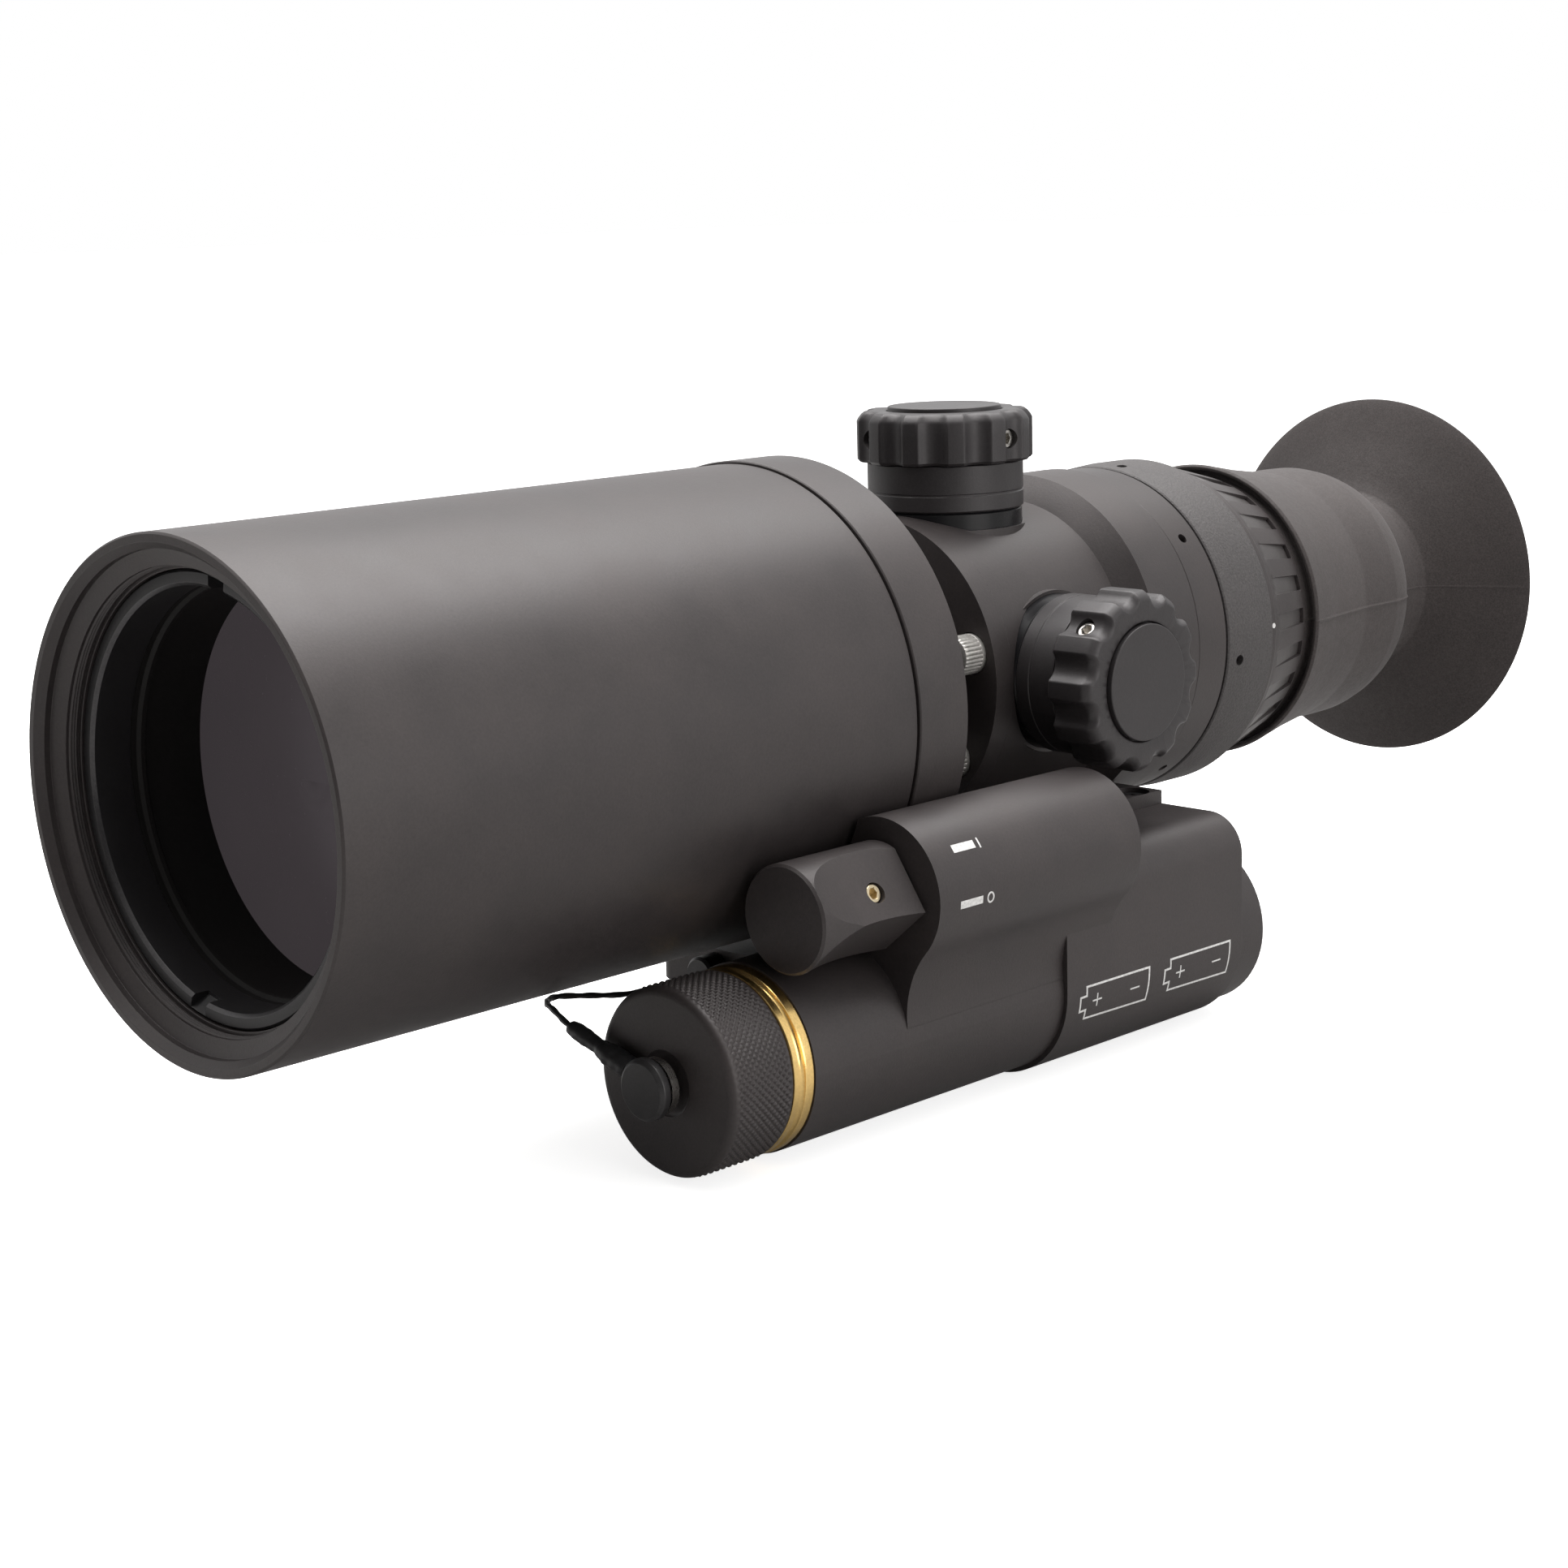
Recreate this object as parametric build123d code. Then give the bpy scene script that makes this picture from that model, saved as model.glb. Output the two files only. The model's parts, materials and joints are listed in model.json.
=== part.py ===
from build123d import *
import os
from math import sin, cos, radians, sqrt

# Monocular electro-optical weapon sight (night vision scope), built as a bench assembly.
# +Z is up and the optical axis runs along Y: objective towards -Y (front), eyepiece towards
# +Y (rear). The origin is the centre of the bolt pattern under the mounting base.
# Millimetres. Heights are written from the optical axis; save() lifts each piece by AXIS_Z.

AXIS_Z = 44.0               # optical axis above the underside of the mounting base

# objective barrel and its rear flange
BARREL_R = 34.0
BARREL_Y0, BARREL_Y1 = -142.0, -44.5
FLANGE_R = 34.4
FLANGE_Y0, FLANGE_Y1 = -44.2, -34.2
SPIGOT_Y = -42.3            # shoulder of the spigot inside the flange
RIM_BORE_R = 31.85
RIM_STEP_R = 29.6
LENS_BORE_R = 29.0
RING_Y0, RING_Y1 = -137.0, -131.1
RING_BORE_R = 26.8
SPACER_Y1 = -120.0

# neck and main body
BODY_R = 23.5
NECK_Y = -15.7              # front face of the neck ring
NECK_JOINT_Y = -12.0        # joint between neck ring and body
NECK_TUBE_R = 15.2
LIGHT_BORE_R = 12.8
BODY_BORE_R = 19.2
FLARE_Y0, FLARE_Y1 = 14.8, 18.2
REAR_R, REAR_Y1 = 27.1, 29.1
NECK_CIRCLE_R = 38.0 / 2    # neck screw circle
NECK_PLACES = 7
NECK_FREE_PLACE = 1         # this place on the circle carries no screw

# rear collar and eyepiece
COLLAR_Y1 = 36.3
GRIP_Y0, GRIP_Y1 = 37.0, 48.5
DIOPTER_Y0, DIOPTER_Y1 = 48.7, 61.0
DIOPTER_PADS = 27

# power unit: battery tube and switch, both parallel to Y; (x, z) of each axis
BATTERY = BATTERY_X, BATTERY_Z = 28.16, -42.33
SWITCH = SWITCH_X, SWITCH_Z = 37.0, -21.6
TUBE_R, TUBE_REAR_R, TUBE_BORE_R = 13.2, 13.9, 9.8
SWITCH_R, SWITCH_BORE_R = 10.6, 6.0
SWITCH_Y0, SWITCH_Y1 = -55.5, -12.4
BLOCK_X0, BLOCK_X1 = 26.75, 42.06
BLOCK_Y0, BLOCK_Y1 = -22.5, 19.5
BLOCK_TOP, BLOCK_FILLET = -23.0, 6.0

# mounting base
BASE_HALF = 12.5
BASE_Y0, BASE_Y1 = -52.0, 19.5
BASE_BOTTOM = -AXIS_Z
WING_HALF = 26.7
WING_TOP, WING_BOTTOM = -20.9, -27.9
BOLT_DX, BOLT_DY = 16.0, 30.0
BOLT_R = 1.65               # M4 tapping radius
BASE_SCREWS = ((-6.0, -2.0), (6.0, -2.0), (-6.0, 7.5), (6.0, 7.5))           # (x, y)
POWER_SCREWS = tuple((23.6, y) for y in (-8.0, 2.0, 15.5))                   # (x, y)
WIRE_X, WIRE_Y, WIRE_HOLE_R = 8.0, 12.5, 1.6
ANCHOR_Z = -39.6            # tether anchor in the nose of the base

# body, base and power unit screws
SHANK_R, TAP_R, CLEAR_R = 1.46, 1.5, 1.7
HEAD_R, SOCKET_R = 2.75, 1.44   # SOCKET_R is to the corners of the hexagon

ON_Z = Rot(0, 0, 0)
ON_X = Rot(0, 90, 0)        # turns local +Z onto +X


# ---------------------------------------------------------------- helpers

def rev_y(points, x=0.0, z=0.0):
    """Solid of revolution about an axis parallel to Y; points are (radius, y)."""
    face = make_face(Polyline(*points, close=True))
    return revolve(face, Axis.Y, 360).moved(Location((x, 0, z)))


def cyl_y(radius, y0, y1, x=0.0, z=0.0):
    return rev_y([(0, y0), (radius, y0), (radius, y1), (0, y1)], x, z)


def tube_y(outer, inner, y0, y1, x=0.0, z=0.0):
    return rev_y([(inner, y0), (outer, y0), (outer, y1), (inner, y1)], x, z)


def rev_z(points, x=0.0, y=0.0):
    """Solid of revolution about an axis parallel to Z; points are (radius, z)."""
    face = make_face(Polyline(*[(r, 0, z) for r, z in points], close=True))
    return revolve(face, Axis.Z, 360).moved(Location((x, y, 0)))


def cyl_z(radius, z0, z1, x=0.0, y=0.0):
    return rev_z([(0, z0), (radius, z0), (radius, z1), (0, z1)], x, y)


def cyl_x(radius, x0, x1, y=0.0, z=0.0):
    return (ON_X * cyl_z(radius, x0, x1)).moved(Location((0, y, z)))


def box(x0, x1, y0, y1, z0, z1):
    centre = Pos((x0 + x1) / 2, (y0 + y1) / 2, (z0 + z1) / 2)
    return centre * Box(x1 - x0, y1 - y0, z1 - z0)


def prism_y(outline, y0, y1):
    """Extrude a closed (x, z) outline from y0 to y1."""
    wire = Polyline(*[(x, y0, z) for x, z in outline], close=True)
    return extrude(make_face(wire), amount=y1 - y0, dir=(0, 1, 0))


def circle_points(count, radius, start=0.0, u=0.0, v=0.0):
    """Evenly spaced points on a circle about (u, v), angles in degrees."""
    angles = [radians(start + 360.0 * i / count) for i in range(count)]
    return [(u + radius * cos(a), v + radius * sin(a)) for a in angles]


def hex_prism_z(corner_r, z0, z1, x=0.0, y=0.0):
    corners = [(u, v, z0) for u, v in circle_points(6, corner_r, u=x, v=y)]
    return extrude(make_face(Polyline(*corners, close=True)), amount=z1 - z0, dir=(0, 0, 1))


def cap_screw_z(x, y, head, shank, socket):
    """Socket screw along Z; head, shank and socket are (low z, high z)."""
    screw = cyl_z(HEAD_R, *head, x, y) + cyl_z(SHANK_R, *shank, x, y)
    return screw - hex_prism_z(SOCKET_R, *socket, x, y)


def spin(angle):
    """Turn about Y; the angle runs from +X towards +Z."""
    return Rot(0, -angle, 0)


def cut_around(solid, tool, angles):
    """Cut a tool, drawn on the +X side, at each angle about the optical axis."""
    for angle in angles:
        solid -= spin(angle) * tool
    return solid


def o_ring(ring_r, cord_r, y):
    return revolve(Plane.XY * Pos(ring_r, y) * Circle(cord_r), Axis.Y, 360)


def lens(radius, front_y, rear_y, front_sag, rear_sag):
    """Lens with spherical faces between two edge planes; sag > 0 bulges outward."""
    def face_arc(start, end, edge_y, sag, side):
        curve_r = (radius * radius + sag * sag) / (2 * abs(sag))
        bulge = side * (1 if sag > 0 else -1)
        centre_y = edge_y + side * sag - bulge * curve_r
        mid_r = radius * 0.5
        mid_y = centre_y + bulge * sqrt(curve_r * curve_r - mid_r * mid_r)
        return ThreePointArc(start, (mid_r, mid_y), end)

    front_apex, rear_apex = (0, front_y - front_sag), (0, rear_y + rear_sag)
    front_edge, rear_edge = (radius, front_y), (radius, rear_y)
    profile = [
        face_arc(front_apex, front_edge, front_y, front_sag, -1),
        Line(front_edge, rear_edge),
        face_arc(rear_edge, rear_apex, rear_y, rear_sag, 1),
        Line(rear_apex, front_apex),
    ]
    return revolve(make_face(profile), Axis.Y, 360)


def sweep_round(radius, path, origin, z_dir):
    return sweep(Plane(origin=origin, z_dir=z_dir) * Circle(radius), path=path)


def save(name, shapes):
    """Lift a shape, or a list of shapes, to its final height and write its STEP file."""
    if not isinstance(shapes, (list, tuple)):
        shapes = [shapes]
    solids = [solid for shape in shapes for solid in shape.solids()]
    node = solids[0] if len(solids) == 1 else Compound(children=solids)
    node = node.moved(Location((0, 0, AXIS_Z)))
    node.label = name
    export_step(node, f"parts/{name}.step")


PIECES = []


def piece(build):
    """Register a builder; its name becomes the piece's name."""
    PIECES.append(build)
    return build


# ---------------------------------------------------------------- objective

@piece
def objective_barrel():
    """Rim and stepped bore at the front, narrowest part of the bore mid way, rear spigot."""
    return rev_y([
        (32.75, BARREL_Y0), (BARREL_R - 0.3, BARREL_Y0), (BARREL_R, BARREL_Y0 + 0.3),
        (BARREL_R, BARREL_Y1), (32.2, BARREL_Y1), (31.1, BARREL_Y1), (31.1, SPIGOT_Y),
        (30.0, SPIGOT_Y), (30.0, -38.6), (26.0, -38.6), (26.0, -64.0), (24.0, -66.0),
        (24.0, -76.0), (22.8, -76.0), (22.8, -86.0), (26.0, -89.0), (26.0, -110.4),
        (LENS_BORE_R, -110.4), (LENS_BORE_R, -137.2), (RIM_STEP_R, -137.2),
        (RIM_STEP_R, -139.1), (RIM_BORE_R, -140.0), (RIM_BORE_R, -140.9),
    ])


@piece
def front_retaining_ring():
    """Ring with a chamfered inner edge and two spanner notches in its front face."""
    ring = rev_y([
        (RING_BORE_R + 0.5, RING_Y0), (28.6, RING_Y0), (28.95, RING_Y0 + 0.35),
        (28.95, RING_Y1), (RING_BORE_R, RING_Y1), (RING_BORE_R, RING_Y0 + 0.5),
    ])
    notch = box(25.5, 28.3, RING_Y0 - 1, RING_Y0 + 2.6, -1.6, 1.6)
    return cut_around(ring, notch, (81.0, 258.0))


@piece
def lens_spacer_ring():
    front, rear = RING_Y1 + 0.02, SPACER_Y1 - 0.25
    return rev_y([
        (26.9, front), (28.93, front), (28.93, rear), (26.95, rear),
        (26.95, -128.8), (26.4, -129.2), (26.4, -129.8), (26.9, -130.2),
    ])


@piece
def objective_front_lens():
    return lens(28.9, front_y=-119.98, rear_y=-110.95, front_sag=1.3, rear_sag=2.2)


@piece
def objective_rear_lens():
    return lens(23.9, front_y=-75.98, rear_y=-70.0, front_sag=-1.2, rear_sag=1.6)


@piece
def barrel_o_ring():
    return o_ring(32.0, 0.88, -43.4)


@piece
def barrel_flange():
    """Visible ring behind the barrel, then a cone down to the neck tube."""
    return rev_y([
        (30.05, SPIGOT_Y), (33.05, SPIGOT_Y), (33.05, FLANGE_Y0), (FLANGE_R - 0.2, FLANGE_Y0),
        (FLANGE_R, FLANGE_Y0 + 0.2), (FLANGE_R, FLANGE_Y1 - 0.3), (FLANGE_R - 0.3, FLANGE_Y1),
        (32.0, FLANGE_Y1), (18.2, -25.0), (15.25, -25.0), (15.25, -34.4), (25.8, -34.4),
        (25.8, -38.5), (30.05, -38.5),
    ])


# ---------------------------------------------------------------- neck and main body

NECK_SCREWS = circle_points(NECK_PLACES, NECK_CIRCLE_R, 13.5)    # (x, z)
del NECK_SCREWS[NECK_FREE_PLACE]
COUNTERBORE_Y = NECK_Y + 0.5


@piece
def neck_ring():
    neck = rev_y([
        (LIGHT_BORE_R, -34.0), (NECK_TUBE_R, -34.0), (NECK_TUBE_R, NECK_Y), (BODY_R, NECK_Y),
        (BODY_R, NECK_JOINT_Y), (LIGHT_BORE_R, NECK_JOINT_Y),
    ])
    for x, z in NECK_SCREWS:
        neck -= cyl_y(3.2, NECK_Y - 1, COUNTERBORE_Y, x, z)
        neck -= cyl_y(CLEAR_R, NECK_Y, NECK_JOINT_Y + 1, x, z)
    return neck


@piece
def neck_cap_screws():
    head_y0, head_y1 = COUNTERBORE_Y - 3.4, NECK_Y + 0.48
    corner_r = 2.5 / 2 / cos(radians(30))
    screws = []
    for x, z in NECK_SCREWS:
        screw = cyl_y(2.9, head_y0, head_y1, x, z) + cyl_y(SHANK_R, head_y1, -6.2, x, z)
        socket = circle_points(6, corner_r, 15, x, z)
        screws.append(screw - prism_y(socket, head_y0 - 1, head_y0 + 1.6))
    return screws


@piece
def main_body():
    """Waist with two turret saddles, flare and rear cylinder."""
    front = NECK_JOINT_Y + 0.02
    body = rev_y([
        (0, front), (BODY_R, front), (BODY_R, FLARE_Y0), (REAR_R, FLARE_Y1),
        (REAR_R, REAR_Y1 - 0.5), (REAR_R - 0.5, REAR_Y1), (0, REAR_Y1),
    ])
    bosses = cyl_z(12.3, 15.0, 21.2) + (ON_X * cyl_z(12.3, 15.0, 21.2))
    body += bosses - box(-40, 40, -40, front, -40, 40)
    # light path, chamber for reticle and image tube, rear counterbore
    body -= cyl_y(LIGHT_BORE_R, NECK_JOINT_Y - 1, -4.6)
    body -= cyl_y(BODY_BORE_R, -4.5, 41.0)
    body -= cyl_y(24.0, 22.0, REAR_Y1 + 1)
    for x, z in NECK_SCREWS:
        body -= cyl_y(TAP_R, NECK_JOINT_Y - 1, -6.0, x, z)
    # turret wells and lead screw holes
    for orient in (ON_Z, ON_X):
        body -= orient * cyl_z(TURRET_SEAT_R + 0.05, 20.0, 40.0)
        body -= orient * cyl_z(2.5, 10.0, 30.0)
    # wire passage and screw holes towards the base
    body -= cyl_z(WIRE_HOLE_R, -30.0, -17.0, WIRE_X, WIRE_Y)
    for x, y in BASE_SCREWS:
        body -= cyl_z(TAP_R, -26.0, -18.0, x, y)
    return body


# ---------------------------------------------------------------- turrets
# Each turret is drawn along local +Z, with heights from the optical axis.

TURRET_SEAT_R = 11.75
SEAM_H = 23.8               # joint between turret base and drum
DRUM_R = 12.0
HUB_H = 37.0                # top of the drum's hub
SHAFT_BORE_R = 3.06
CAP_H0, CAP_H1, CAP_R = 31.0, 38.8, 13.5
FLUTES, FLUTE_FLOOR_R, FLUTE_R = 12, 12.3, 2.7
DISC_R = 8.7
SET_SCREW_H = 34.6
# name, orientation, angle of the first set screw, height of the lead screw's inner tip
TURRETS = (("elevation", ON_Z, 4.0, 10.0), ("windage", ON_X, 225.0, 7.0))


def set_screw_places(angle):
    """Locations that lay a local +Z part radially, at three angles."""
    return [Pos(0, 0, SET_SCREW_H) * Rot(0, 0, angle + 120.0 * k) * ON_X for k in range(3)]


def cut_set_screw_holes(solid, angle, r0, r1):
    for place in set_screw_places(angle):
        solid -= place * cyl_z(1.5, r0, r1)
    return solid


def turret_base():
    """Ring sitting in the body well."""
    return rev_z([
        (4.75, 20.02), (TURRET_SEAT_R, 20.02), (TURRET_SEAT_R, SEAM_H - 0.25),
        (TURRET_SEAT_R - 0.25, SEAM_H), (SHAFT_BORE_R, SEAM_H), (SHAFT_BORE_R, 21.3),
        (4.75, 21.3),
    ])


def turret_drum(angle):
    """Wide skirt with a narrower hub above it, bored for the shaft."""
    drum = rev_z([
        (SHAFT_BORE_R, SEAM_H + 0.05), (DRUM_R - 0.25, SEAM_H + 0.05), (DRUM_R, SEAM_H + 0.3),
        (DRUM_R, CAP_H0 - 0.05), (9.0, CAP_H0 - 0.05), (9.0, HUB_H), (SHAFT_BORE_R, HUB_H),
    ])
    return cut_set_screw_holes(drum, angle, 7.6, 9.5)


def turret_cap(angle):
    """Cap over the hub, with round-bottomed flutes and a shallow recess for the disc."""
    recess_r, recess_h = DISC_R + 0.05, CAP_H1 - 1.0
    cap = rev_z([
        (9.05, CAP_H0), (CAP_R, CAP_H0), (CAP_R, CAP_H1 - 1.1), (CAP_R - 1.2, CAP_H1),
        (recess_r, CAP_H1), (recess_r, recess_h), (0, recess_h), (0, HUB_H + 0.05),
        (9.05, HUB_H + 0.05),
    ])
    for x, y in circle_points(FLUTES, FLUTE_FLOOR_R + FLUTE_R, angle):
        cap -= cyl_z(FLUTE_R, CAP_H0 - 1, CAP_H1 + 1, x, y)
    return cut_set_screw_holes(cap, angle, 8.5, 14.5)


def turret_cap_disc():
    bottom, top = CAP_H1 - 0.98, CAP_H1 + 0.6
    return rev_z([
        (0, bottom), (DISC_R, bottom), (DISC_R, top - 0.25), (DISC_R - 0.25, top), (0, top),
    ])


def turret_set_screws(angle):
    """Short radial screws with the sockets outwards."""
    inner, outer = 8.0, 11.6
    screw = cyl_z(1.45, inner, outer)
    screw -= hex_prism_z(1.5 / 2 / cos(radians(30)), outer - 1.3, outer + 0.5)
    return [place * screw for place in set_screw_places(angle)]


def lead_screw(tip):
    """Thin shank down to the tip, shoulder in the turret base, shaft up through the drum."""
    return rev_z([
        (0, tip), (2.0, tip), (2.0, 20.08), (4.6, 20.08), (4.6, 21.2), (3.0, 21.2),
        (3.0, 36.9), (0, 36.9),
    ])


def save_turret(name, orient, angle, tip):
    parts = {
        "turret_base": [turret_base()],
        "drum": [turret_drum(angle)],
        "cap": [turret_cap(angle)],
        "cap_disc": [turret_cap_disc()],
        "set_screws": turret_set_screws(angle),
        "lead_screw": [lead_screw(tip)],
    }
    for part, shapes in parts.items():
        save(f"{name}_{part}", [orient * shape for shape in shapes])


# ---------------------------------------------------------------- reticle adjustment

def carriage_slot(radius, x0, x1):
    """Round-ended slot, long in Z, cut through a carriage's +X side."""
    half = 1.4
    slot = box(x0, x1, -radius, radius, -half, half)
    return slot + cyl_x(radius, x0, x1, z=half) + cyl_x(radius, x0, x1, z=-half)


@piece
def reticle_guide_ring():
    """Fixed in the body; its window guides the vertical carriage."""
    guide = cyl_y(BODY_BORE_R - 0.1, -4.4, 4.4)
    guide -= box(-11.55, 11.55, -6, 6, -13.8, 13.8)
    guide -= cyl_z(2.3, 12.0, 20.0)
    guide -= cyl_x(2.3, 10.0, 20.0)
    return guide


@piece
def reticle_vertical_carriage():
    carriage = box(-11.5, 11.5, -4.0, 4.0, -12.3, 12.3)
    carriage -= box(-10.2, 10.2, -6, 6, -7.55, 7.55)
    carriage -= cyl_z(2.05, 7.0, 13.0)
    return carriage - carriage_slot(2.1, 9.0, 12.0)


@piece
def reticle_horizontal_carriage():
    """Block with a stepped bore that holds the reticle glass."""
    carriage = box(-8.8, 8.8, -3.6, 3.6, -7.5, 7.5)
    carriage -= cyl_y(4.85, -5, 1.0)
    carriage -= cyl_y(4.2, 0, 5)
    return carriage - carriage_slot(2.05, 5.6, 9.0)


@piece
def reticle_glass():
    return cyl_y(4.8, -1.2, 0.98)


# ---------------------------------------------------------------- image tube

@piece
def image_intensifier_tube():
    return rev_y([
        (0, 7.0), (14.0, 7.0), (14.0, 8.5), (18.4, 8.5), (18.4, 33.0), (15.0, 33.0),
        (15.0, 35.0), (0, 35.0),
    ])


@piece
def tube_retaining_ring():
    ring = tube_y(19.1, 15.6, 33.2, 35.8)
    return cut_around(ring, box(15.0, 17.4, 34.6, 37.0, -1.5, 1.5), (0, 180))


# ---------------------------------------------------------------- rear collar and eyepiece

EYE_BORE_R = 19.5           # bore of collar and eyepiece housing
SLEEVE_R = 21.45            # bore of the diopter ring and the eyeguard's front end
PIN_ANGLES = [90 + 120 * k for k in range(3)]
GRIP_SCREW_Y = 39.7
GRIP_SCREW_ANGLES = [-6.6 - 120 * k for k in range(3)]


@piece
def rear_collar():
    """Collar with eight radial spanner holes; its front end enters the body."""
    step_y = REAR_Y1 + 0.05
    collar = rev_y([
        (EYE_BORE_R, 26.0), (23.9, 26.0), (23.9, step_y), (26.3, step_y),
        (26.6, REAR_Y1 + 0.4), (26.6, COLLAR_Y1), (EYE_BORE_R, COLLAR_Y1),
    ])
    hole = cyl_x(0.75, 24.6, 28.0, y=32.9)
    return cut_around(collar, hole, [-51.5 + 45.0 * k for k in range(8)])


@piece
def collar_o_ring():
    return o_ring(25.5, 0.33, 36.65)


@piece
def eyepiece_housing():
    """Grip ring and the inner tube carrying the diopter ring and the eyeguard."""
    housing = rev_y([
        (EYE_BORE_R, GRIP_Y0), (26.3, GRIP_Y0), (26.7, GRIP_Y0 + 0.5), (27.1, GRIP_Y1 - 0.4),
        (26.7, GRIP_Y1), (21.4, GRIP_Y1), (21.4, 75.0), (EYE_BORE_R, 75.0),
    ])
    screw_hole = cyl_x(0.9, 22.0, 28.0, y=GRIP_SCREW_Y)
    housing = cut_around(housing, screw_hole, GRIP_SCREW_ANGLES)
    # axial slots for the drive pins of the lens cell
    return cut_around(housing, box(19.0, 22.0, 50.8, 58.0, -1.1, 1.1), PIN_ANGLES)


@piece
def housing_set_screws():
    screw = cyl_x(0.85, 22.1, 25.4, y=GRIP_SCREW_Y) - cyl_x(0.4, 24.4, 26.0, y=GRIP_SCREW_Y)
    return [spin(angle) * screw for angle in GRIP_SCREW_ANGLES]


@piece
def diopter_ring():
    """Ring with milled finger pads outside and an annular groove inside."""
    ring = rev_y([
        (SLEEVE_R, DIOPTER_Y0), (25.9, DIOPTER_Y0), (26.2, DIOPTER_Y0 + 0.3),
        (26.1, DIOPTER_Y0 + 1.8), (25.2, DIOPTER_Y1 - 1.4), (24.6, DIOPTER_Y1 - 0.3),
        (24.1, DIOPTER_Y1), (SLEEVE_R, DIOPTER_Y1), (SLEEVE_R, 58.6), (22.9, 58.6),
        (22.9, 50.2), (SLEEVE_R, 50.2),
    ])
    pad = box(24.3, 28.0, 51.2, 58.9, -1.45, 1.45)
    return cut_around(ring, pad, [2.8 + 360.0 / DIOPTER_PADS * k for k in range(DIOPTER_PADS)])


@piece
def eyepiece_lens_cell():
    """Sliding cell with three radial drive pins."""
    cell = tube_y(19.45, 17.2, 44.0, 72.0)
    cell -= tube_y(18.1, 10.0, 60.0, 73.0)
    for angle in PIN_ANGLES:
        cell += spin(angle) * cyl_x(1.0, 18.6, 22.6, y=54.4)
    return cell


@piece
def eyepiece_front_lens():
    return lens(17.15, front_y=46.0, rear_y=51.0, front_sag=1.2, rear_sag=2.6)


@piece
def eyepiece_rear_lens():
    return lens(18.05, front_y=60.3, rear_y=65.0, front_sag=2.6, rear_sag=1.4)


@piece
def eyepiece_retaining_ring():
    ring = tube_y(18.05, 15.8, 65.4, 68.6)
    return cut_around(ring, box(15.0, 17.0, 67.2, 73.0, -1.2, 1.2), (0, 180))


@piece
def rubber_eyeguard():
    """Thick front lip, tapered boot, roll, then the flared disc."""
    return rev_y([
        # outer surface, front to rear
        (SLEEVE_R, 61.6), (22.0, 61.4), (23.2, 63.2), (24.1, 65.2), (24.0, 66.5), (23.4, 72.0),
        (22.55, 78.0), (21.95, 82.5), (22.05, 88.0), (21.95, 92.0), (21.3, 95.0), (20.6, 97.0),
        (19.2, 99.0), (17.4, 100.4), (16.2, 101.4), (15.7, 104.0), (15.5, 108.6), (16.2, 109.8),
        (18.0, 111.0), (25.0, 114.6), (31.0, 117.3), (32.4, 118.0),
        # inner surface, rear to front
        (31.9, 118.4), (30.6, 118.3), (25.0, 115.9), (18.2, 112.4), (14.6, 110.4),
        (13.7, 107.0), (13.9, 102.5), (16.8, 98.6), (19.0, 95.8), (19.9, 92.0), (20.1, 88.0),
        (20.0, 82.0), (20.3, 76.2), (SLEEVE_R, 75.4),
    ])


# ---------------------------------------------------------------- mounting base

@piece
def mounting_base():
    """Foot under the optical axis, tongue under the barrel, two wings for the power unit."""
    base = box(-BASE_HALF, BASE_HALF, BASE_Y0, BASE_Y1, BASE_BOTTOM, -36.2)
    base += box(-BASE_HALF, BASE_HALF, -18.0, BASE_Y1, -37.0, -18.0)
    base += box(-WING_HALF, WING_HALF, -11.5, BASE_Y1, WING_BOTTOM, WING_TOP)
    # saddle for the body, its flare, then the barrel flange and neck
    saddle_r, rear_saddle_r = BODY_R + 0.03, REAR_R + 0.04
    base -= cyl_y(saddle_r, -60, FLARE_Y0 + 0.1)
    base -= rev_y([
        (0, FLARE_Y0), (saddle_r, FLARE_Y0), (rear_saddle_r, FLARE_Y1), (rear_saddle_r, 30),
        (0, 30),
    ])
    base -= rev_y([
        (0, -60), (35.4, -60), (35.4, -33.6), (33.0, -33.6), (18.7, -24.0), (18.7, -18.5),
        (0, -18.5),
    ])
    # ease the front corners of the tongue and its lower front edge
    base = fillet(base.edges().filter_by(Axis.Z).group_by(Axis.Y)[0], 2.5)
    base = chamfer(base.edges().filter_by(Axis.X).group_by(Axis.Z)[0].sort_by(Axis.Y)[0], 1.5)
    # rail adapter bolt holes in the underside
    for side_x in (-1, 1):
        for side_y in (-1, 1):
            base -= cyl_z(BOLT_R, BASE_BOTTOM - 1, BASE_BOTTOM + 9.0,
                          side_x * BOLT_DX / 2, side_y * BOLT_DY / 2)
    for x, y in BASE_SCREWS:
        base -= cyl_z(CLEAR_R, -45.0, -15.0, x, y)
        base -= cyl_z(3.1, -45.0, -27.5, x, y)
    # wire duct
    base -= cyl_z(WIRE_HOLE_R, -27.5, -15.0, WIRE_X, WIRE_Y)
    base -= box(6.6, 28.0, WIRE_Y - 1, WIRE_Y + 1, -27.5, -25.3)
    for x, y in POWER_SCREWS:
        base -= cyl_z(CLEAR_R, -29.0, -18.0, x, y)
        base -= cyl_z(3.0, -24.2, -18.0, x, y)
    # tether anchor hole in the nose
    return base - cyl_y(1.05, BASE_Y0 - 1, BASE_Y0 + 8.0, 0.0, ANCHOR_Z)


@piece
def base_screws():
    return [cap_screw_z(x, y, head=(-30.52, -27.52), shank=(-27.6, -19.4),
                        socket=(-31.5, -28.9)) for x, y in BASE_SCREWS]


# ---------------------------------------------------------------- power unit

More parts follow.
